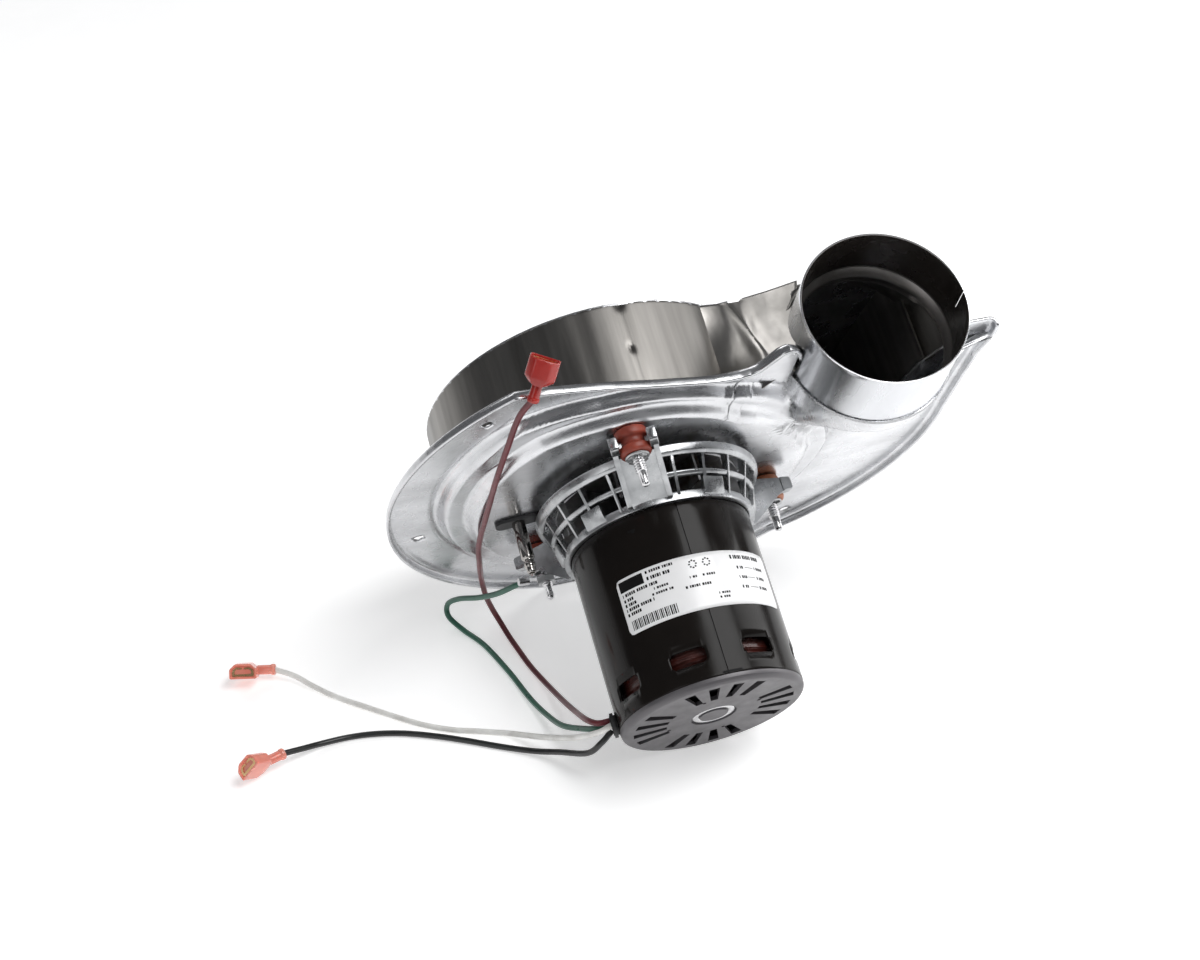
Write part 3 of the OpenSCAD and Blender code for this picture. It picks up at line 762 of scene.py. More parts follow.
def collar_parts(settings):
    """The collar's outside, its inside and its inner bead as three parts, so that each takes its own finish: painted
    shade inside and a painted highlight on the bead.
    """
    profile, split = collar_tube(settings.collar_r, THROAT_END, settings.collar_end)
    steps = 180
    a = np.radians(np.linspace(0, 360, steps, endpoint=False))
    slit = np.abs((np.degrees(a) - SLIT_A + 180) % 360 - 180) < SLIT_HALF_A
    pts = np.stack([
        COLLAR_X + np.outer(np.cos(a), profile[:, 0]),
        np.tile(profile[:, 1], (steps, 1)),
        COLLAR_Z + np.outer(np.sin(a), profile[:, 0]),
    ], -1)
    p, f = grid(pts, around=True, along=True)
    faces = np.array(f)
    centre = p[faces].mean(1)
    row = faces[:, 0] // len(profile)
    keep = ~(slit[row] & (centre[:, 1] > settings.collar_end - SLIT_L))
    col = faces[:, 0] % len(profile)
    y = p[faces, 1].mean(1)
    bead = (col >= split) & (y < BEAD_END)
    return [(p, faces[keep & (col < split)].tolist(), 0), (p, faces[keep & (col >= split) & ~bead].tolist(), 1),
            (p, faces[keep & bead].tolist(), 2)]


class FAN_OT_scroll(bpy.types.Operator):
    """Scroll wall with its back bead, and the creased cheek from the tongue to the collar"""

    bl_idname = "fan.scroll"
    bl_label = "Scroll wall"

    def execute(self, context):
        depth = context.scene.fan_housing.drum_depth
        build("scroll_wall", [scroll_band(depth)], drum_steel(), nodes=["scroll_wall"])
        cheek = build("throat_cheek", [throat_cheek()], folded_steel(), sharp=60)
        add_modifier(cheek, "SOLIDIFY", thickness=0.001, offset=0.0)
        return {"FINISHED"}


class FAN_OT_throat(bpy.types.Operator):
    """Throat shell from the box section to the round collar, with painted shade on its inner side"""

    bl_idname = "fan.throat"
    bl_label = "Throat"

    def execute(self, context):
        throat = build("throat_boot", [throat_shell()], [drum_steel(), inner_painted_shade()], nodes=["throat_boot"],
                       sharp=60)
        # The inner side takes the second material, which is painted shade
        add_modifier(throat, "SOLIDIFY", thickness=0.001, offset=-1.0, material_offset=1)
        return {"FINISHED"}


class FAN_OT_collar(bpy.types.Operator):
    """Round collar with a slit rim, bright outside, with painted shade inside and a painted highlight on its inner
    bead
    """

    bl_idname = "fan.collar"
    bl_label = "Outlet collar"

    def execute(self, context):
        build("outlet_collar", collar_parts(context.scene.fan_housing), [collar_steel(), inner_painted_shade(), bead_painted_highlight()],
              nodes=["outlet_collar"])
        return {"FINISHED"}


# ---------------------------------------------------------------- the motor's cage

LUG_ANGLES = [104.0, 224.0, 344.0]
LUG_R = 64.5


def lug_parts():
    """One lug: two cheeks with thick rolled ends, the web between them and the seat that clasps
    the grommet. It is drawn with the radius along X."""
    parts = []
    cheek = rounded([(44.0, 15.2), (70.5, 15.2), (72.4, 17.6), (70.8, 20.8), (64.0, 24.0), (46.2, 38.3),
                     (43.4, 38.3), (43.2, 34.0)], 1.0, 3)
    for side in (-1, 1):
        parts.append(shifted(upright(prism(cheek, -1.15, 1.15, 0.35)), 0, side * 9.1))
        boss = prism(rounded([(66.6, 15.0), (72.6, 15.0), (72.6, 21.4), (66.6, 22.4)], 1.2, 4), -2.0, 2.0, 0.4)
        parts.append(shifted(upright(boss), 0, side * 8.6))
    web = rounded([(43.0, 36.4), (62.0, 20.4), (62.6, 21.3), (43.8, 37.6)], 0.4, 2)
    parts.append(upright(prism(web, -8.3, 8.3)))
    seat = [(55.0, -8.2), (66.4, -8.2), (66.4, -5.2)] + arc((LUG_R, 0), 5.5, 290, 70, 22)
    seat += [(66.4, 5.2), (66.4, 8.2), (55.0, 8.2)]
    parts.append(prism(seat, 16.2, 18.8))
    return parts


def cage_parts(motor):
    """The cast cage: three hoops turned about the axis, ribs that lean in from the wide hoop to the
    shell, the bearing hub, eight spokes, and three lugs with two pads beside each."""
    parts = [
        revolve(ring_of([(46.6, 15.6), (52.0, 15.6), (53.0, 16.4), (52.2, 19.4), (51.0, 20.6), (49.6, 20.8),
                         (48.8, 18.6), (46.6, 17.6)]), 144),
        revolve(ring_of([(45.2, 27.4), (47.6, 26.6), (48.3, 27.5), (47.3, 29.0), (45.6, 29.4)]), 144),
        revolve(ring_of([(36.2, 34.6), (43.4, 34.6), (44.9, 35.6), (44.9, 39.4), (42.2, 39.4), (42.1, 37.6),
                         (36.2, 37.4)]), 144),
        revolve(ring_of([(8.05, 32), (12.4, 32), (12.4, 45), (8.05, 45)]), 64),
    ]
    rib = rounded([(47.6, 16.4), (51.4, 18.4), (50.6, 20.6), (44.7, 37.8), (42.6, 37.2), (45.4, 28.0)], 0.5, 3)
    for k in range(motor.rib_count):
        if k % 7:
            parts.append(turned(upright(prism(rib, -0.65, 0.65, 0.25)), LUG_ANGLES[0] + 360.0 / motor.rib_count * k))
    spoke = rounded([(11.5, 34.8), (37.5, 34.8), (37.5, 37.0), (11.5, 37.4)], 0.4, 2)
    for k in range(8):
        parts.append(turned(upright(prism(spoke, -3.6, 3.6, 0.4)), 22.5 + 45 * k))
    pad = rounded([(45.9, 30.4), (47.6, 30.6), (45.6, 38.4), (43.6, 38.4)], 0.3, 2)
    for angle in LUG_ANGLES:
        for offset in (-39.0, 34.0):
            parts.append(turned(upright(prism(pad, -5.4, 5.4, 0.3)), angle + offset))
        parts += [turned(q, angle) for q in lug_parts()]
    return parts


def stud_profile():
    """A stud: a plain foot, a thread of rounded ridges 1.25 mm apart, and a long dog point."""
    z = np.linspace(24.6, 31.0, 46)
    thread = [(2.35 + 0.36 * math.sin(2 * math.pi * (v - 24.6) / 1.25), v) for v in z]
    tip = [(1.95, 31.5), (1.9, 36.6), (1.6, 37.6), (0.9, 38.1), (0.0, 38.2)]
    return [(0.0, 11.0), (2.7, 11.0), (2.7, 23.2)] + thread + tip


def grommet_profile():
    """A grommet: two soft rims with a groove between them, around the sleeve."""
    return rounded([(3.65, 11.2), (6.9, 11.2), (7.4, 12.4), (7.3, 15.2), (5.4, 16.2), (5.4, 18.8), (7.4, 19.6),
                    (7.2, 22.2), (6.2, 23.2), (3.65, 23.2)], 0.8, 4)


def at_lug(part, angle):
    """A part moved out to a lug and turned to its angle."""
    return turned(shifted(part, LUG_R, 0), angle)


class FAN_OT_cage(bpy.types.Operator):
    """Cast cage of the motor with its ribs, spokes and three lugs"""

    bl_idname = "fan.cage"
    bl_label = "Motor cage"

    def execute(self, context):
        build("end_shield", cage_parts(context.scene.fan_motor), cast_aluminium(), nodes=["end_shield"],
              sharp=40)
        return {"FINISHED"}


class FAN_OT_mounts(bpy.types.Operator):
    """Grommets, sleeves, threaded studs and spring nuts on the three lugs"""

    bl_idname = "fan.mounts"
    bl_label = "Motor mounts"

    def execute(self, context):
        ring = revolve(grommet_profile(), 48)
        grommets = [(*at_lug(ring, a), which) for which, a in zip((0, 0, 1), LUG_ANGLES)]
        build("grommets", grommets, [red_silicone(), orange_silicone()], nodes=["grommets"])
        studs = [at_lug(revolve(stud_profile(), 32), a) for a in LUG_ANGLES]
        build("mount_studs", studs, bright_steel(), nodes=["mount_studs"], sharp=60)
        nut = [revolve(ring_of([(2.75, 23.4), (5.4, 23.4), (5.6, 23.9), (5.0, 24.5), (2.75, 24.5)]), 32)]
        for k in range(4):
            ear = rounded([(2.75, 24.3), (4.6, 24.3), (5.2, 25.0), (4.6, 25.4), (2.75, 25.6)], 0.3, 2)
            nut.append(turned(upright(prism(ear, -1.3, 1.3, 0.15)), 45 + 90 * k))
        nuts = [at_lug(q, a) for a in LUG_ANGLES for q in nut]
        build("spring_nuts", nuts, dull_steel(), nodes=["spring_nuts"])
        return {"FINISHED"}


# ---------------------------------------------------------------- the motor

WINDOW_Z, WINDOW_H, WINDOW_W = 109.6, 7.2, 16.0
WINDOW_ANGLES = 20 + 45 * np.arange(8)
WINDOW_CORNER_A, WINDOW_CORNER_Z = 1.6, 1.4
LABEL_A, LABEL_Z = (31, 140), (64.8, 90.5)


def from_window(a):
    """The angle in degrees between each a and the middle of its nearest window."""
    return np.abs((a[:, None] - WINDOW_ANGLES[None] + 180) % 360 - 180).min(1)


def shell_surface(motor):
    """The shell as a grid of angle by height whose lines meet the edges of the eight windows and of the
    seam, with those faces left out. The seam is a groove 0.5 mm deep within 0.35
    degrees of its middle, and both ends of the shell turn in by a small radius."""
    r = motor.shell_r
    half = math.degrees(WINDOW_W / 2 / r)
    cuts = []
    for c in WINDOW_ANGLES:
        cuts += [c - half, c - half + WINDOW_CORNER_A, c + half - WINDOW_CORNER_A, c + half]
    seam = [89.4, 89.7, 90.0, 90.3, 90.6, 81.0, 93.0]
    angles = np.unique(np.round(np.concatenate([np.arange(0, 360, 2.5), np.array(cuts) % 360, seam]), 3))
    low, high = motor.shell_front, motor.shell_back
    z0, z1 = WINDOW_Z - WINDOW_H / 2, WINDOW_Z + WINDOW_H / 2
    rows = np.array([low, low + 0.25, low + 0.8, *np.linspace(low + 6, z0 - 4, 9), z0, z0 + WINDOW_CORNER_Z,
                     z1 - WINDOW_CORNER_Z, z1, 117.0, 119.8, high - 0.5, high - 0.15, high])
    edge = np.interp(rows, [low, low + 0.25, low + 0.8, high - 0.5, high - 0.15, high],
                     [-0.5, -0.15, 0, 0, -0.12, -0.4])
    a = np.radians(angles)
    groove = np.where(np.abs(angles - 90) < 0.35, 0.5, 0.0)
    rr = r + edge[None] - groove[:, None]
    pts = np.stack([rr * np.cos(a)[:, None], rr * np.sin(a)[:, None], np.tile(rows, (len(a), 1))], -1)
    p, f = grid(pts, around=True)
    faces = np.array(f)
    mid = p[faces].mean(1)
    fa = np.degrees(np.arctan2(mid[:, 1], mid[:, 0])) % 360
    off = from_window(fa)
    away = np.abs(mid[:, 2] - WINDOW_Z)
    inside = (off < half) & (away < WINDOW_H / 2)
    corner = (off > half - WINDOW_CORNER_A) & (away > WINDOW_H / 2 - WINDOW_CORNER_Z) & inside
    out = faces[~inside].tolist()
    for face in faces[corner]:
        q = p[face]
        fa4 = np.degrees(np.arctan2(q[:, 1], q[:, 0])) % 360
        o4 = from_window(fa4)
        inner = np.argmin(o4 / half + np.abs(q[:, 2] - WINDOW_Z) / (WINDOW_H / 2))
        out.append([int(v) for i, v in enumerate(face) if i != inner])
    return p, out


def label_sheet(r, a0, a1, z0, z1, corner=2.2, n=46, m=14):
    """A rounded rectangle wrapped on the shell. u and v run from -1 to 1 and each column's height is
    cut back near the ends by the corner's circle."""
    u = np.linspace(-1, 1, n)
    u = np.sign(u) * (1 - (1 - np.abs(u)) ** 1.25)
    half = math.radians(a1 - a0) / 2 * r
    x = u * half
    over = np.clip(np.abs(x) - (half - corner), 0, corner)
    tall = (z1 - z0) / 2 - corner + np.sqrt(np.maximum(corner**2 - over**2, 0))
    v = np.linspace(-1, 1, m)
    z = (z0 + z1) / 2 + tall[:, None] * v[None]
    a = math.radians((a0 + a1) / 2) + (x / r)[:, None] + 0 * z
    return grid(np.stack([r * np.cos(a), r * np.sin(a), z], -1))


def print_bars(r):
    """Generic print on the label: a solid block, rows of short dashes, two small rings of dashes and a
    row of upright bars, each a thin curved patch just above the film. Widths come from a fixed
    wave of the row and column numbers."""
    parts = []

    def patch(a0, a1, z0, z1):
        a = np.radians(np.linspace(a0, a1, max(2, int(abs(a1 - a0) / 1.5) + 2)))
        z = np.array([z0, z1])
        pts = np.stack([r * np.cos(a)[:, None] + 0 * z, r * np.sin(a)[:, None] + 0 * z, 0 * a[:, None] + z], -1)
        parts.append(grid(pts))

    def dashes(a0, a1, z, high, seed):
        at, k = a0, 0
        while at > a1:
            wide = 0.55 + 0.75 * abs(math.sin(seed * 2.1 + k * 1.7))
            patch(at - wide, at, z - high * 0.7, z + high * 0.7)
            at -= wide + (0.4 if k % 5 else 1.3)
            k += 1

    patch(121.5, 138.2, 66.0, 70.9)
    dashes(119.5, 102, 66.7, 0.9, 1)
    dashes(119.5, 106, 69.6, 1.1, 2)
    for k, (stop, z) in enumerate([(114, 72.6), (131, 75.0), (131, 77.2), (119, 79.4), (128, 81.6)]):
        dashes(137.5, stop, z, 1.0, 3 + k)
    dashes(117, 108, 75.0, 0.75, 9)
    dashes(119, 106, 77.4, 0.75, 10)
    at, k = 136.5, 0
    while at > 106.5:
        wide = 0.45 + 0.4 * (k * 7 % 5 > 2)
        patch(at - wide, at, 84.6, 89.0)
        at -= wide + 0.45 + 0.3 * (k * 5 % 3 == 0)
        k += 1
    for centre in (91.0, 82.5):
        for t in range(8):
            a = t * math.pi / 4
            patch(centre + 2.1 * math.cos(a) - 0.55, centre + 2.1 * math.cos(a) + 0.55,
                  69.2 + 1.7 * math.sin(a) - 0.35, 69.2 + 1.7 * math.sin(a) + 0.35)
    dashes(95, 91, 75.0, 0.75, 12)
    dashes(87, 79, 75.0, 0.75, 13)
    dashes(99, 83, 79.2, 0.85, 14)
    dashes(80.5, 74, 84.4, 0.7, 15)
    dashes(80.5, 74, 86.4, 0.7, 16)
    dashes(66, 42, 68.0, 1.3, 17)
    for k, z in enumerate((73.0, 77.6, 82.2)):
        dashes(63, 58, z, 1.0, 20 + k)
        patch(49.5, 56.5, z - 0.12, z + 0.12)
        dashes(48, 40, z, 1.0, 24 + k)
    return parts


def shell_marks(r):
    """The slit where the seam meets the cap and the two small punch marks, as curved patches."""
    parts = []
    for a0, a1, z0, z1 in [(81.0, 93.0, 119.4, 120.4), (117.5, 122.5, 45.6, 46.6), (118.3, 120.2, 46.6, 47.4)]:
        a = np.radians(np.linspace(a0, a1, 9))[:, None]
        z = np.array([[z0, z1]])
        parts.append(grid(np.stack([r * np.cos(a) + 0 * z, r * np.sin(a) + 0 * z, z + 0 * a], -1)))
    return parts


class FAN_OT_motor(bpy.types.Operator):
    """Motor shell with its windows and seam, the rating label and the generic print on it"""

    bl_idname = "fan.motor"
    bl_label = "Motor shell and label"

    def execute(self, context):
        motor = context.scene.fan_motor
        shell = build("motor_shell", [shell_surface(motor)], black_enamel(), nodes=["motor_shell"],
                      sharp=50)
        add_modifier(shell, "SOLIDIFY", thickness=0.0012, offset=-1.0)
        label = build("rating_label", [label_sheet(motor.shell_r + 0.22, *LABEL_A, *LABEL_Z)], label_film(),
                      nodes=["rating_label"])
        add_modifier(label, "SOLIDIFY", thickness=0.0002, offset=-1.0)
        build("label_print", print_bars(motor.shell_r + 0.26), label_ink())
        build("shell_marks", shell_marks(motor.shell_r + 0.06), label_ink())
        ring = [(6.7, 123.2), (9.9, 123.2), (9.8, 123.75), (8.9, 124.05), (7.7, 124.05), (6.8, 123.75)]
        eye = [(0.0, 122.6), (4.6, 122.6), (4.9, 123.8), (4.3, 124.3), (3.4, 124.2), (2.0, 123.5), (0.0, 123.3)]
        # Painted shade: a black disc inside the cap, below its slots, so that the slots look dark
        shade_disc = [(9.0, 120.2), (39.6, 120.2), (39.6, 120.7), (9.0, 120.7)]
        build("cap_painted_shade_disc", [revolve(shade_disc, 72)], label_ink())
        build("cap_boss", [revolve(rounded(ring, 0.4, 3), 72), revolve(eye, 72)], bright_steel(),
              sharp=60)
        return {"FINISHED"}


# ---------------------------------------------------------------- the tap, wheel and CAD finishes

TAP_AT = (-59.3, -8.4)
BLADES = 36


class FAN_OT_tap(bpy.types.Operator):
    """Pressure tap: a nickel tube with a shouldered hose nipple"""

    bl_idname = "fan.tap"
    bl_label = "Pressure tap"

    def execute(self, context):
        profile = rounded([(1.3, 11.2), (3.1, 11.2), (3.1, 30.4), (2.75, 31.0), (2.3, 31.3), (2.3, 32.4), (2.55, 33.0),
                           (2.55, 34.6), (2.2, 35.2), (2.2, 36.8), (1.9, 38.0), (1.3, 38.0)], 0.3, 3)
        build("pressure_tap", [shifted(revolve(profile, 48), *TAP_AT)], black_nickel(), nodes=["pressure_tap"],
              sharp=45)
        return {"FINISHED"}


def wheel_blades(count):
    """Forward-curved blades: each is a circular arc in plan, 0.8 mm thick, from the inner to the outer
    radius, raised between the two side plates."""
    t = np.linspace(0, 1, 9)
    a = np.radians(200 + 100 * t)
    mid = np.column_stack([54.0 + 8.6 * np.cos(a) + 3.0, 7.0 + 8.6 * np.sin(a)])
    out = outward(mid) * 0.4
    outline = np.concatenate([mid + out, (mid - out)[::-1]])
    blade = prism(outline, -39.0, -8.2)
    return [turned(blade, 360.0 / count * k) for k in range(count)]


class FAN_OT_wheel(bpy.types.Operator):
    """Blades of the impeller"""

    bl_idname = "fan.wheel"
    bl_label = "Impeller blades"

    def execute(self, context):
        build("impeller_blades", wheel_blades(BLADES), wheel_steel(), body=ROTOR, nodes=["impeller_blades"],
              sharp=50)
        return {"FINISHED"}


CAD_FINISHES = {
    "back_panel": zinc_plate, "impeller_hub": black_oxide, "impeller_disc": wheel_steel,
    "impeller_ring": wheel_steel, "set_screw": black_oxide, "sleeves": bright_steel,
    "rear_cap": cap_paint, "stator_core": laminations, "windings": copper_wire, "rotor_core": laminations,
    "shaft": bright_steel, "front_bearing": sintered_bronze, "rear_bearing": sintered_bronze,
    "cooling_fan": wheel_steel, "tap_gasket": black_rubber, "lead_bushing": black_rubber,
    "ring_terminal": bright_steel, "ground_nut": dull_steel,
}


class FAN_OT_finishes(bpy.types.Operator):
    """Finishes of the CAD pieces that are shown as they are"""

    bl_idname = "fan.finishes"
    bl_label = "Finishes of CAD pieces"

    def execute(self, context):
        for node, make in CAD_FINISHES.items():
            obj = FRAME["nodes"][node]
            material = make()
            if obj.data.materials:
                for k in range(len(obj.data.materials)):
                    obj.data.materials[k] = material
            else:
                obj.data.materials.append(material)
        return {"FINISHED"}


# ---------------------------------------------------------------- leads and terminals

# Each route repeats the CAD route's points, in the frame's millimetres, from the bushing outwards
ROUTES = {
    "red": [(-62, -74.6, 32), (-67, -73.2, 31), (-70, -66, 28), (-70.5, -50, 20), (-71, -30, 11),
            (-73, -7, 4), (-76, 12, 1.4), (-78, 25, 1.4), (-80, 38, 2), (-82, 47, 5), (-85, 50, 12),
            (-88, 48, 22), (-91, 41, 38), (-94, 27, 57), (-95.5, 17, 74.5), (-94, 1, 101.5),
            (-92.5, -17.5, 130.5), (-89, -27.5, 151.5), (-85, -36, 171), (-80, -42, 182)],
    "green": [(-62, -74.6, 29), (-67, -71.5, 26.5), (-72, -60, 19), (-77, -47, 12), (-80, -30, 6),
              (-83, -12, 2.4), (-87, 12, 1.4), (-93, 36, 1.4), (-100, 51, 1.8), (-105, 60, 5),
              (-104.5, 62, 11), (-100, 55, 18), (-93, 42, 26), (-86, 30, 35), (-79.5, 21, 44),
              (-75, 18, 47.6)],
    "white": [(-62, -77.6, 32), (-68, -77, 29), (-76, -66, 19.5), (-86, -49, 9), (-98, -34, 2.5),
              (-111, -26.5, 1.4), (-123, -21, 1.4), (-135, -13, 1.4), (-148, -1, 1.4), (-158, 9, 1.4),
              (-169, 20, 1.4), (-178, 31, 2), (-186, 40, 4), (-194.5, 46, 5.6)],
    "black": [(-62, -77.6, 29), (-67.5, -79.5, 25), (-73, -75, 17), (-82, -60, 8), (-91, -50, 3),
              (-103, -41, 1.4), (-118, -31, 1.4), (-131, -23, 1.4), (-145, -16, 1.4), (-158, -12, 1.4),
              (-170, -10.5, 1.4), (-182, -12, 2.4), (-191, -15.5, 4.8), (-201.5, -19.5, 7.6)],
}
# Where each terminal starts in millimetres, its turn, rise and roll, and how far its mouth is bent
ENDS = {
    "red": ((-80.3, -42.1, 181.0), 17, 67.5, 49, 0),
    "white": ((-193.5, 45.7, 5.6), 164, 0, 33, 90),
    "black": ((-200.1, -19.3, 7.6), 200, 0, 65, 30),
}
BOOT_W, BOOT_L = 13.0, 11.5
# Lays a part drawn along Z down along X
ALONG_X = [[0, 0, 1], [1, 0, 0], [0, 1, 0]]


def smooth_route(points, steps=10):
    """A Catmull-Rom curve through the route's points: each stretch is the cubic that leaves and arrives
    along the chord between its neighbours."""
    p = np.asarray(points, float)
    p = np.concatenate([[2 * p[0] - p[1]], p, [2 * p[-1] - p[-2]]])
    t = np.linspace(0, 1, steps, endpoint=False)[:, None]
    out = []
    for i in range(1, len(p) - 2):
        a, b, c, d = p[i - 1], p[i], p[i + 1], p[i + 2]
        out.append(0.5 * (2 * b + (c - a) * t + (2 * a - 5 * b + 4 * c - d) * t**2
                          + (3 * b - a - 3 * c + d) * t**3))
    return np.concatenate([*out, [p[-2]]])


def lead(name, diameter, material):
    """A lead as a curve with a round bevel along its smoothed route."""
    line = smooth_route(np.array(ROUTES[name]) / 1000.0)
    curve = bpy.data.curves.new("lead_" + name, "CURVE")
    curve.dimensions = "3D"
    curve.bevel_depth = diameter / 2
    curve.bevel_resolution = 4
    curve.use_fill_caps = True
    spline = curve.splines.new("POLY")
    spline.points.add(len(line) - 1)
    spline.points.foreach_set("co", np.column_stack([line, np.ones(len(line))]).astype(np.float32).ravel())
    spline.use_smooth = True
    curve.materials.append(material)
    obj = bpy.data.objects.new("lead_" + name, curve)
    bpy.context.scene.collection.objects.link(obj)
    length = float(np.linalg.norm(np.diff(line, axis=0), axis=1).sum())
    return obj, line, length


def terminal_matrix(name):
    """The terminal's place: turned, raised and rolled, then moved to its start, in millimetres."""
    start, turn, rise, roll, _ = ENDS[name]
    m = (Matrix.Rotation(math.radians(turn), 4, "Z") @ Matrix.Rotation(-math.radians(rise), 4, "Y")
         @ Matrix.Rotation(math.radians(roll), 4, "X"))
    m.translation = Vector(start)
    return np.array(m)


def mouth_matrix(bend):
    """The housing's place on the neck, turned by bend about the neck's end."""
    b = math.radians(bend)
    c, s = math.cos(b), math.sin(b)
    x = 8 + BOOT_W / 2 * s
    return np.array([[c, -s, 0, x - 3 * s * c], [s, c, 0, -3 * s * s], [0, 0, 1, 0], [0, 0, 0, 1]])


def boot_section(inset):
    """The housing's section: flat below, with its two upper corners cut off, drawn in by inset."""
    h = BOOT_W / 2
    return rounded([(-h + inset, -3.4 + inset), (h - inset, -3.4 + inset), (h - inset, 1.2),
                    (3.7 - inset / 2, 3.8 - inset), (inset / 2 - 3.7, 3.8 - inset), (-h + inset, 1.2)], 0.8, 4)


def boot_parts(bend):
    """A terminal's boot: the housing as a closed skin whose stations run from the shoulders at the neck
    out to the mouth and back along the inside, and the neck with a collar at its end."""
    n = len(boot_section(0))
    stations = [(0.0, 0.0, 0.46), (0.5, 0.0, 0.62), (2.6, 0.0, 0.97), (3.6, 0.0, 1.0), (BOOT_L - 0.3, 0.0, 1.0),
                (BOOT_L, 0.3, 1.0), (BOOT_L, 0.8, 1.0), (BOOT_L - 0.4, 1.0, 1.0), (3.4, 1.0, 1.0), (1.4, 1.2, 0.8)]
    rings = []
    for x, inset, scale in stations:
        q = boot_section(inset) * [scale, 0.75 + 0.25 * scale]
        rings.append(np.column_stack([np.full(n, x), q]))
    p, f = grid(np.array(rings)[::-1], along=True)
    m = len(stations)
    f = f + [[(m - 1) * n + k for k in range(n - 1, -1, -1)], list(range(n))]
    house = moved((p, f), mouth_matrix(bend))
    profile = rounded([(1.55, 0.0), (2.35, 0.0), (2.7, 0.6), (2.7, 1.8), (2.3, 2.4), (2.3, 8.8), (1.55, 8.8)], 0.3, 3)
    neck = moved(revolve(profile, 28), ALONG_X)
    web = moved(moved(prism(boot_section(1.2), 1.6, 10.2), ALONG_X), mouth_matrix(bend))
    return [house, neck, web]


def receptacle_parts(bend):
    """The brass receptacle: a floor with two edges rolled over towards the middle, and its barrel."""
    roll = [(-4.9, -2.2), (4.9, -2.2), (5.3, -1.0), (4.8, 1.0), (3.0, 2.2), (0.4, 1.9), (0.4, 1.1), (2.8, 1.3),
            (3.9, 0.4), (4.0, -1.1), (-4.0, -1.1), (-3.9, 0.4), (-2.8, 1.3), (-0.4, 1.1), (-0.4, 1.9), (-3.0, 2.2),
            (-4.8, 1.0), (-5.3, -1.0)]
    body = prism(rounded(roll, 0.3, 2), 1.4, 10.8)
    body = moved(body, ALONG_X)
    barrel = moved(revolve(ring_of([(0.7, 1.6), (1.45, 1.6), (1.45, 10.0), (0.7, 10.0)]), 24),
                   ALONG_X)
    return [moved(body, mouth_matrix(bend)), barrel]


def in_metres(part, matrix):
    """A terminal's part put in place and turned into metres."""
    p, f = moved(part, matrix)
    return p / 1000.0, f


class FAN_OT_leads(bpy.types.Operator):
    """Four leads and the three insulated terminals on them"""

    bl_idname = "fan.leads"
    bl_label = "Leads and terminals"

    def execute(self, context):
        s = context.scene.fan_leads
        colours = {"red": tuple(s.red), "white": tuple(s.white), "black": tuple(s.black), "green": tuple(s.green)}
        # The pink boots shine with a small painted glow
        pink = nylon("pink_nylon", (0.80, 0.27, 0.20), (0.92, 0.42, 0.33), 0.5, 0.10)
        boots = {"red": nylon("red_nylon", (0.36, 0.016, 0.012), (0.52, 0.038, 0.028), 0.15), "white": pink,
                 "black": pink}
        for name, colour in colours.items():
            obj, line, length = lead(name, s.diameter, insulation(name + "_insulation", colour))
            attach(obj, HOUSING)
            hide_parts("lead_" + name)
            pieces = [FRAME["nodes"]["lead_bushing"]]
            if name in ENDS:
                m, bend = terminal_matrix(name), ENDS[name][4]
                boot = build("boot_" + name, [in_metres(q, m) for q in boot_parts(bend)], boots[name],
                             nodes=["boot_" + name], in_frame=True)
                brass = build("receptacle_" + name, [in_metres(q, m) for q in receptacle_parts(bend)],
                              stamped_brass(), nodes=["receptacle_" + name], in_frame=True)
                pieces += [boot, brass]
        return {"FINISHED"}


# ---------------------------------------------------------------- the stage

CAMERA_AT = (-0.2512, -0.7564, 0.6189)
CAMERA_RIGHT = (0.9566, -0.2892, -0.0349)
CAMERA_UP = (0.1859, 0.5139, 0.8375)
CAMERA_BACK = (-0.2243, -0.8077, 0.5453)
LENS = 62.28


def softbox(name, at, towards, size, power):
    """A rectangular area light that faces a point."""
    light = bpy.data.lights.new(name, "AREA")
    light.shape = "RECTANGLE"
    light.size, light.size_y = size
    light.energy = power
    obj = bpy.data.objects.new(name, light)
    bpy.context.scene.collection.objects.link(obj)
    obj.location = at
    obj.rotation_euler = (Vector(towards) - Vector(at)).to_track_quat("-Z", "Y").to_euler()


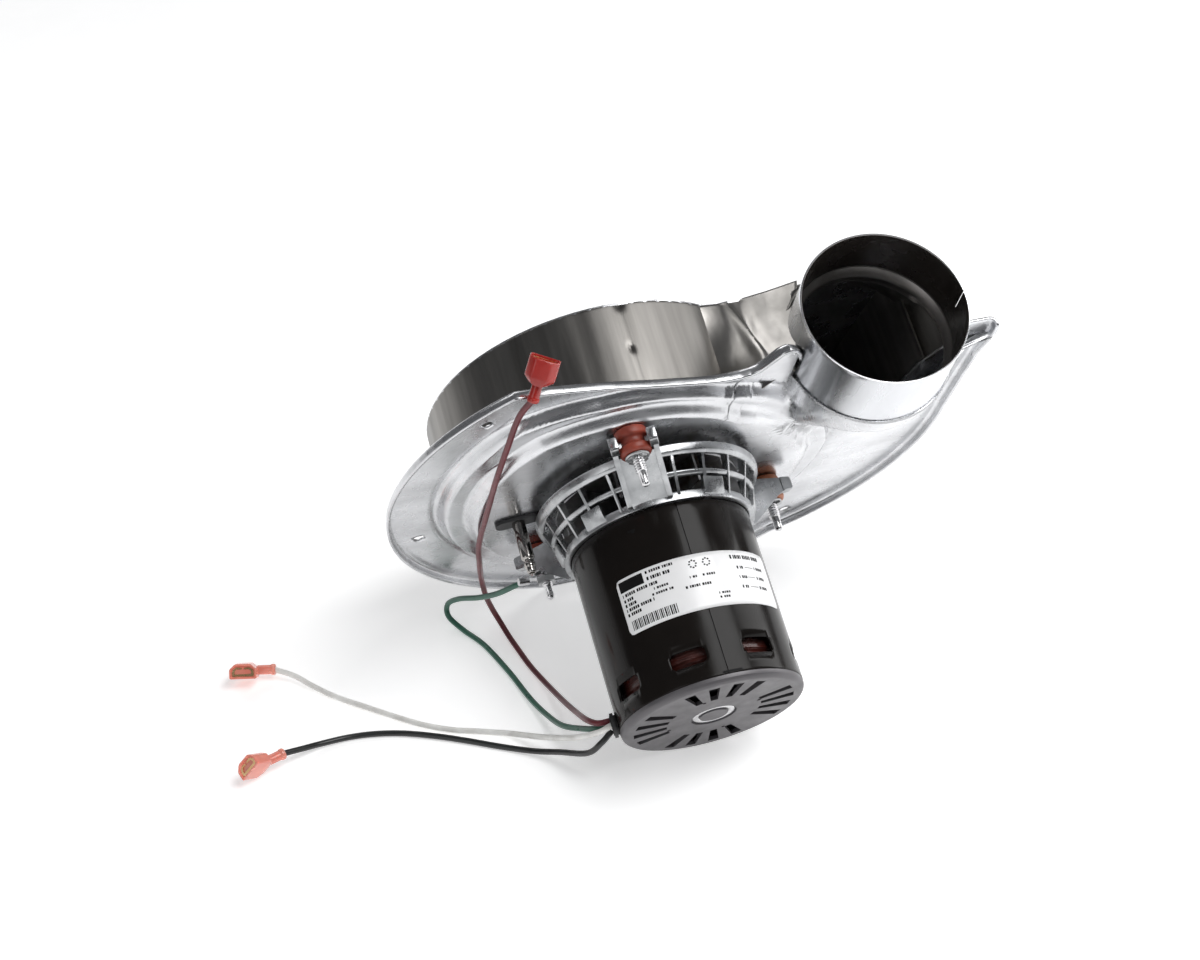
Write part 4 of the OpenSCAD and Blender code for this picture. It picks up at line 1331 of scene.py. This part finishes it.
class FAN_OT_stage(bpy.types.Operator):
    """Pale floor, soft studio lights and the camera"""

    bl_idname = "fan.stage"
    bl_label = "Stage"

    def execute(self, context):
        scene = context.scene
        radius = np.linspace(0.0, 1.0, 24) ** 1.5 * 6.0
        turn = np.linspace(0, 2 * math.pi, 64, endpoint=False)
        radius[0] = 0.001
        x, y = np.outer(np.cos(turn), radius), np.outer(np.sin(turn), radius)
        p, f = grid(np.stack([x, y, np.zeros_like(x) - 0.0002], -1), around=True)
        mesh = bpy.data.meshes.new("floor")
        mesh.from_pydata(p.tolist(), [], [q[::-1] for q in f])
        mesh.materials.append(floor_paint())
        floor = bpy.data.objects.new("floor", mesh)
        scene.collection.objects.link(floor)
        world = bpy.data.worlds.new("studio")
        scene.world = world
        world.use_nodes = True
        world.node_tree.nodes["Background"].inputs["Color"].default_value = (0.93, 0.95, 1.0, 1)
        world.node_tree.nodes["Background"].inputs["Strength"].default_value = 0.12
        softbox("key", (0.5, -0.5, 1.35), (0, 0, 0.08), (1.1, 0.8), 17)
        softbox("fill", (-1.25, -0.9, 0.75), (0, 0, 0.1), (0.7, 1.1), 3)
        softbox("side", (1.35, 0.1, 0.7), (0, 0, 0.1), (0.5, 1.2), 8)
        softbox("back", (-0.35, 1.4, 1.2), (0, 0, 0.1), (1.5, 0.5), 6)
        scene.view_settings.view_transform = "Standard"
        cam = bpy.data.objects.new("camera", bpy.data.cameras.new("camera"))
        scene.collection.objects.link(cam)
        turn = Matrix((CAMERA_RIGHT, CAMERA_UP, CAMERA_BACK)).transposed()
        cam.matrix_world = Matrix.Translation(CAMERA_AT) @ turn.to_4x4()
        cam.data.sensor_width = 36
        cam.data.lens = LENS
        cam.data.clip_start, cam.data.clip_end = 0.01, 30
        scene.camera = cam
        return {"FINISHED"}


class FAN_PT_panel(bpy.types.Panel):
    """Lists the fan's pieces in the sidebar"""

    bl_label = "Combustion Fan"
    bl_idname = "FAN_PT_panel"
    bl_space_type = "VIEW_3D"
    bl_region_type = "UI"
    bl_category = "Fan"

    def draw(self, context):
        layout = self.layout
        for group in ("fan_housing", "fan_motor", "fan_leads"):
            box = layout.box()
            settings = getattr(context.scene, group)
            for name in settings.__annotations__:
                box.prop(settings, name)
        for operator in OPERATORS:
            layout.operator(operator.bl_idname)


OPERATORS = [
    FAN_OT_stage, FAN_OT_leads, FAN_OT_front_plate, FAN_OT_scroll, FAN_OT_throat, FAN_OT_collar,
    FAN_OT_cage, FAN_OT_mounts, FAN_OT_motor, FAN_OT_tap, FAN_OT_wheel, FAN_OT_finishes,
]
CLASSES = [FanMotorSettings, FanHousingSettings, FanLeadSettings, *OPERATORS, FAN_PT_panel]


def register():
    for cls in CLASSES:
        bpy.utils.register_class(cls)
    bpy.types.Scene.fan_motor = PointerProperty(type=FanMotorSettings)
    bpy.types.Scene.fan_housing = PointerProperty(type=FanHousingSettings)
    bpy.types.Scene.fan_leads = PointerProperty(type=FanLeadSettings)


def unregister():
    del bpy.types.Scene.fan_leads
    del bpy.types.Scene.fan_housing
    del bpy.types.Scene.fan_motor
    for cls in reversed(CLASSES):
        bpy.utils.unregister_class(cls)


def main():
    register()
    for operator in OPERATORS:
        group, name = operator.bl_idname.split(".")
        getattr(getattr(bpy.ops, group), name)()


if __name__ == "__main__":
    main()
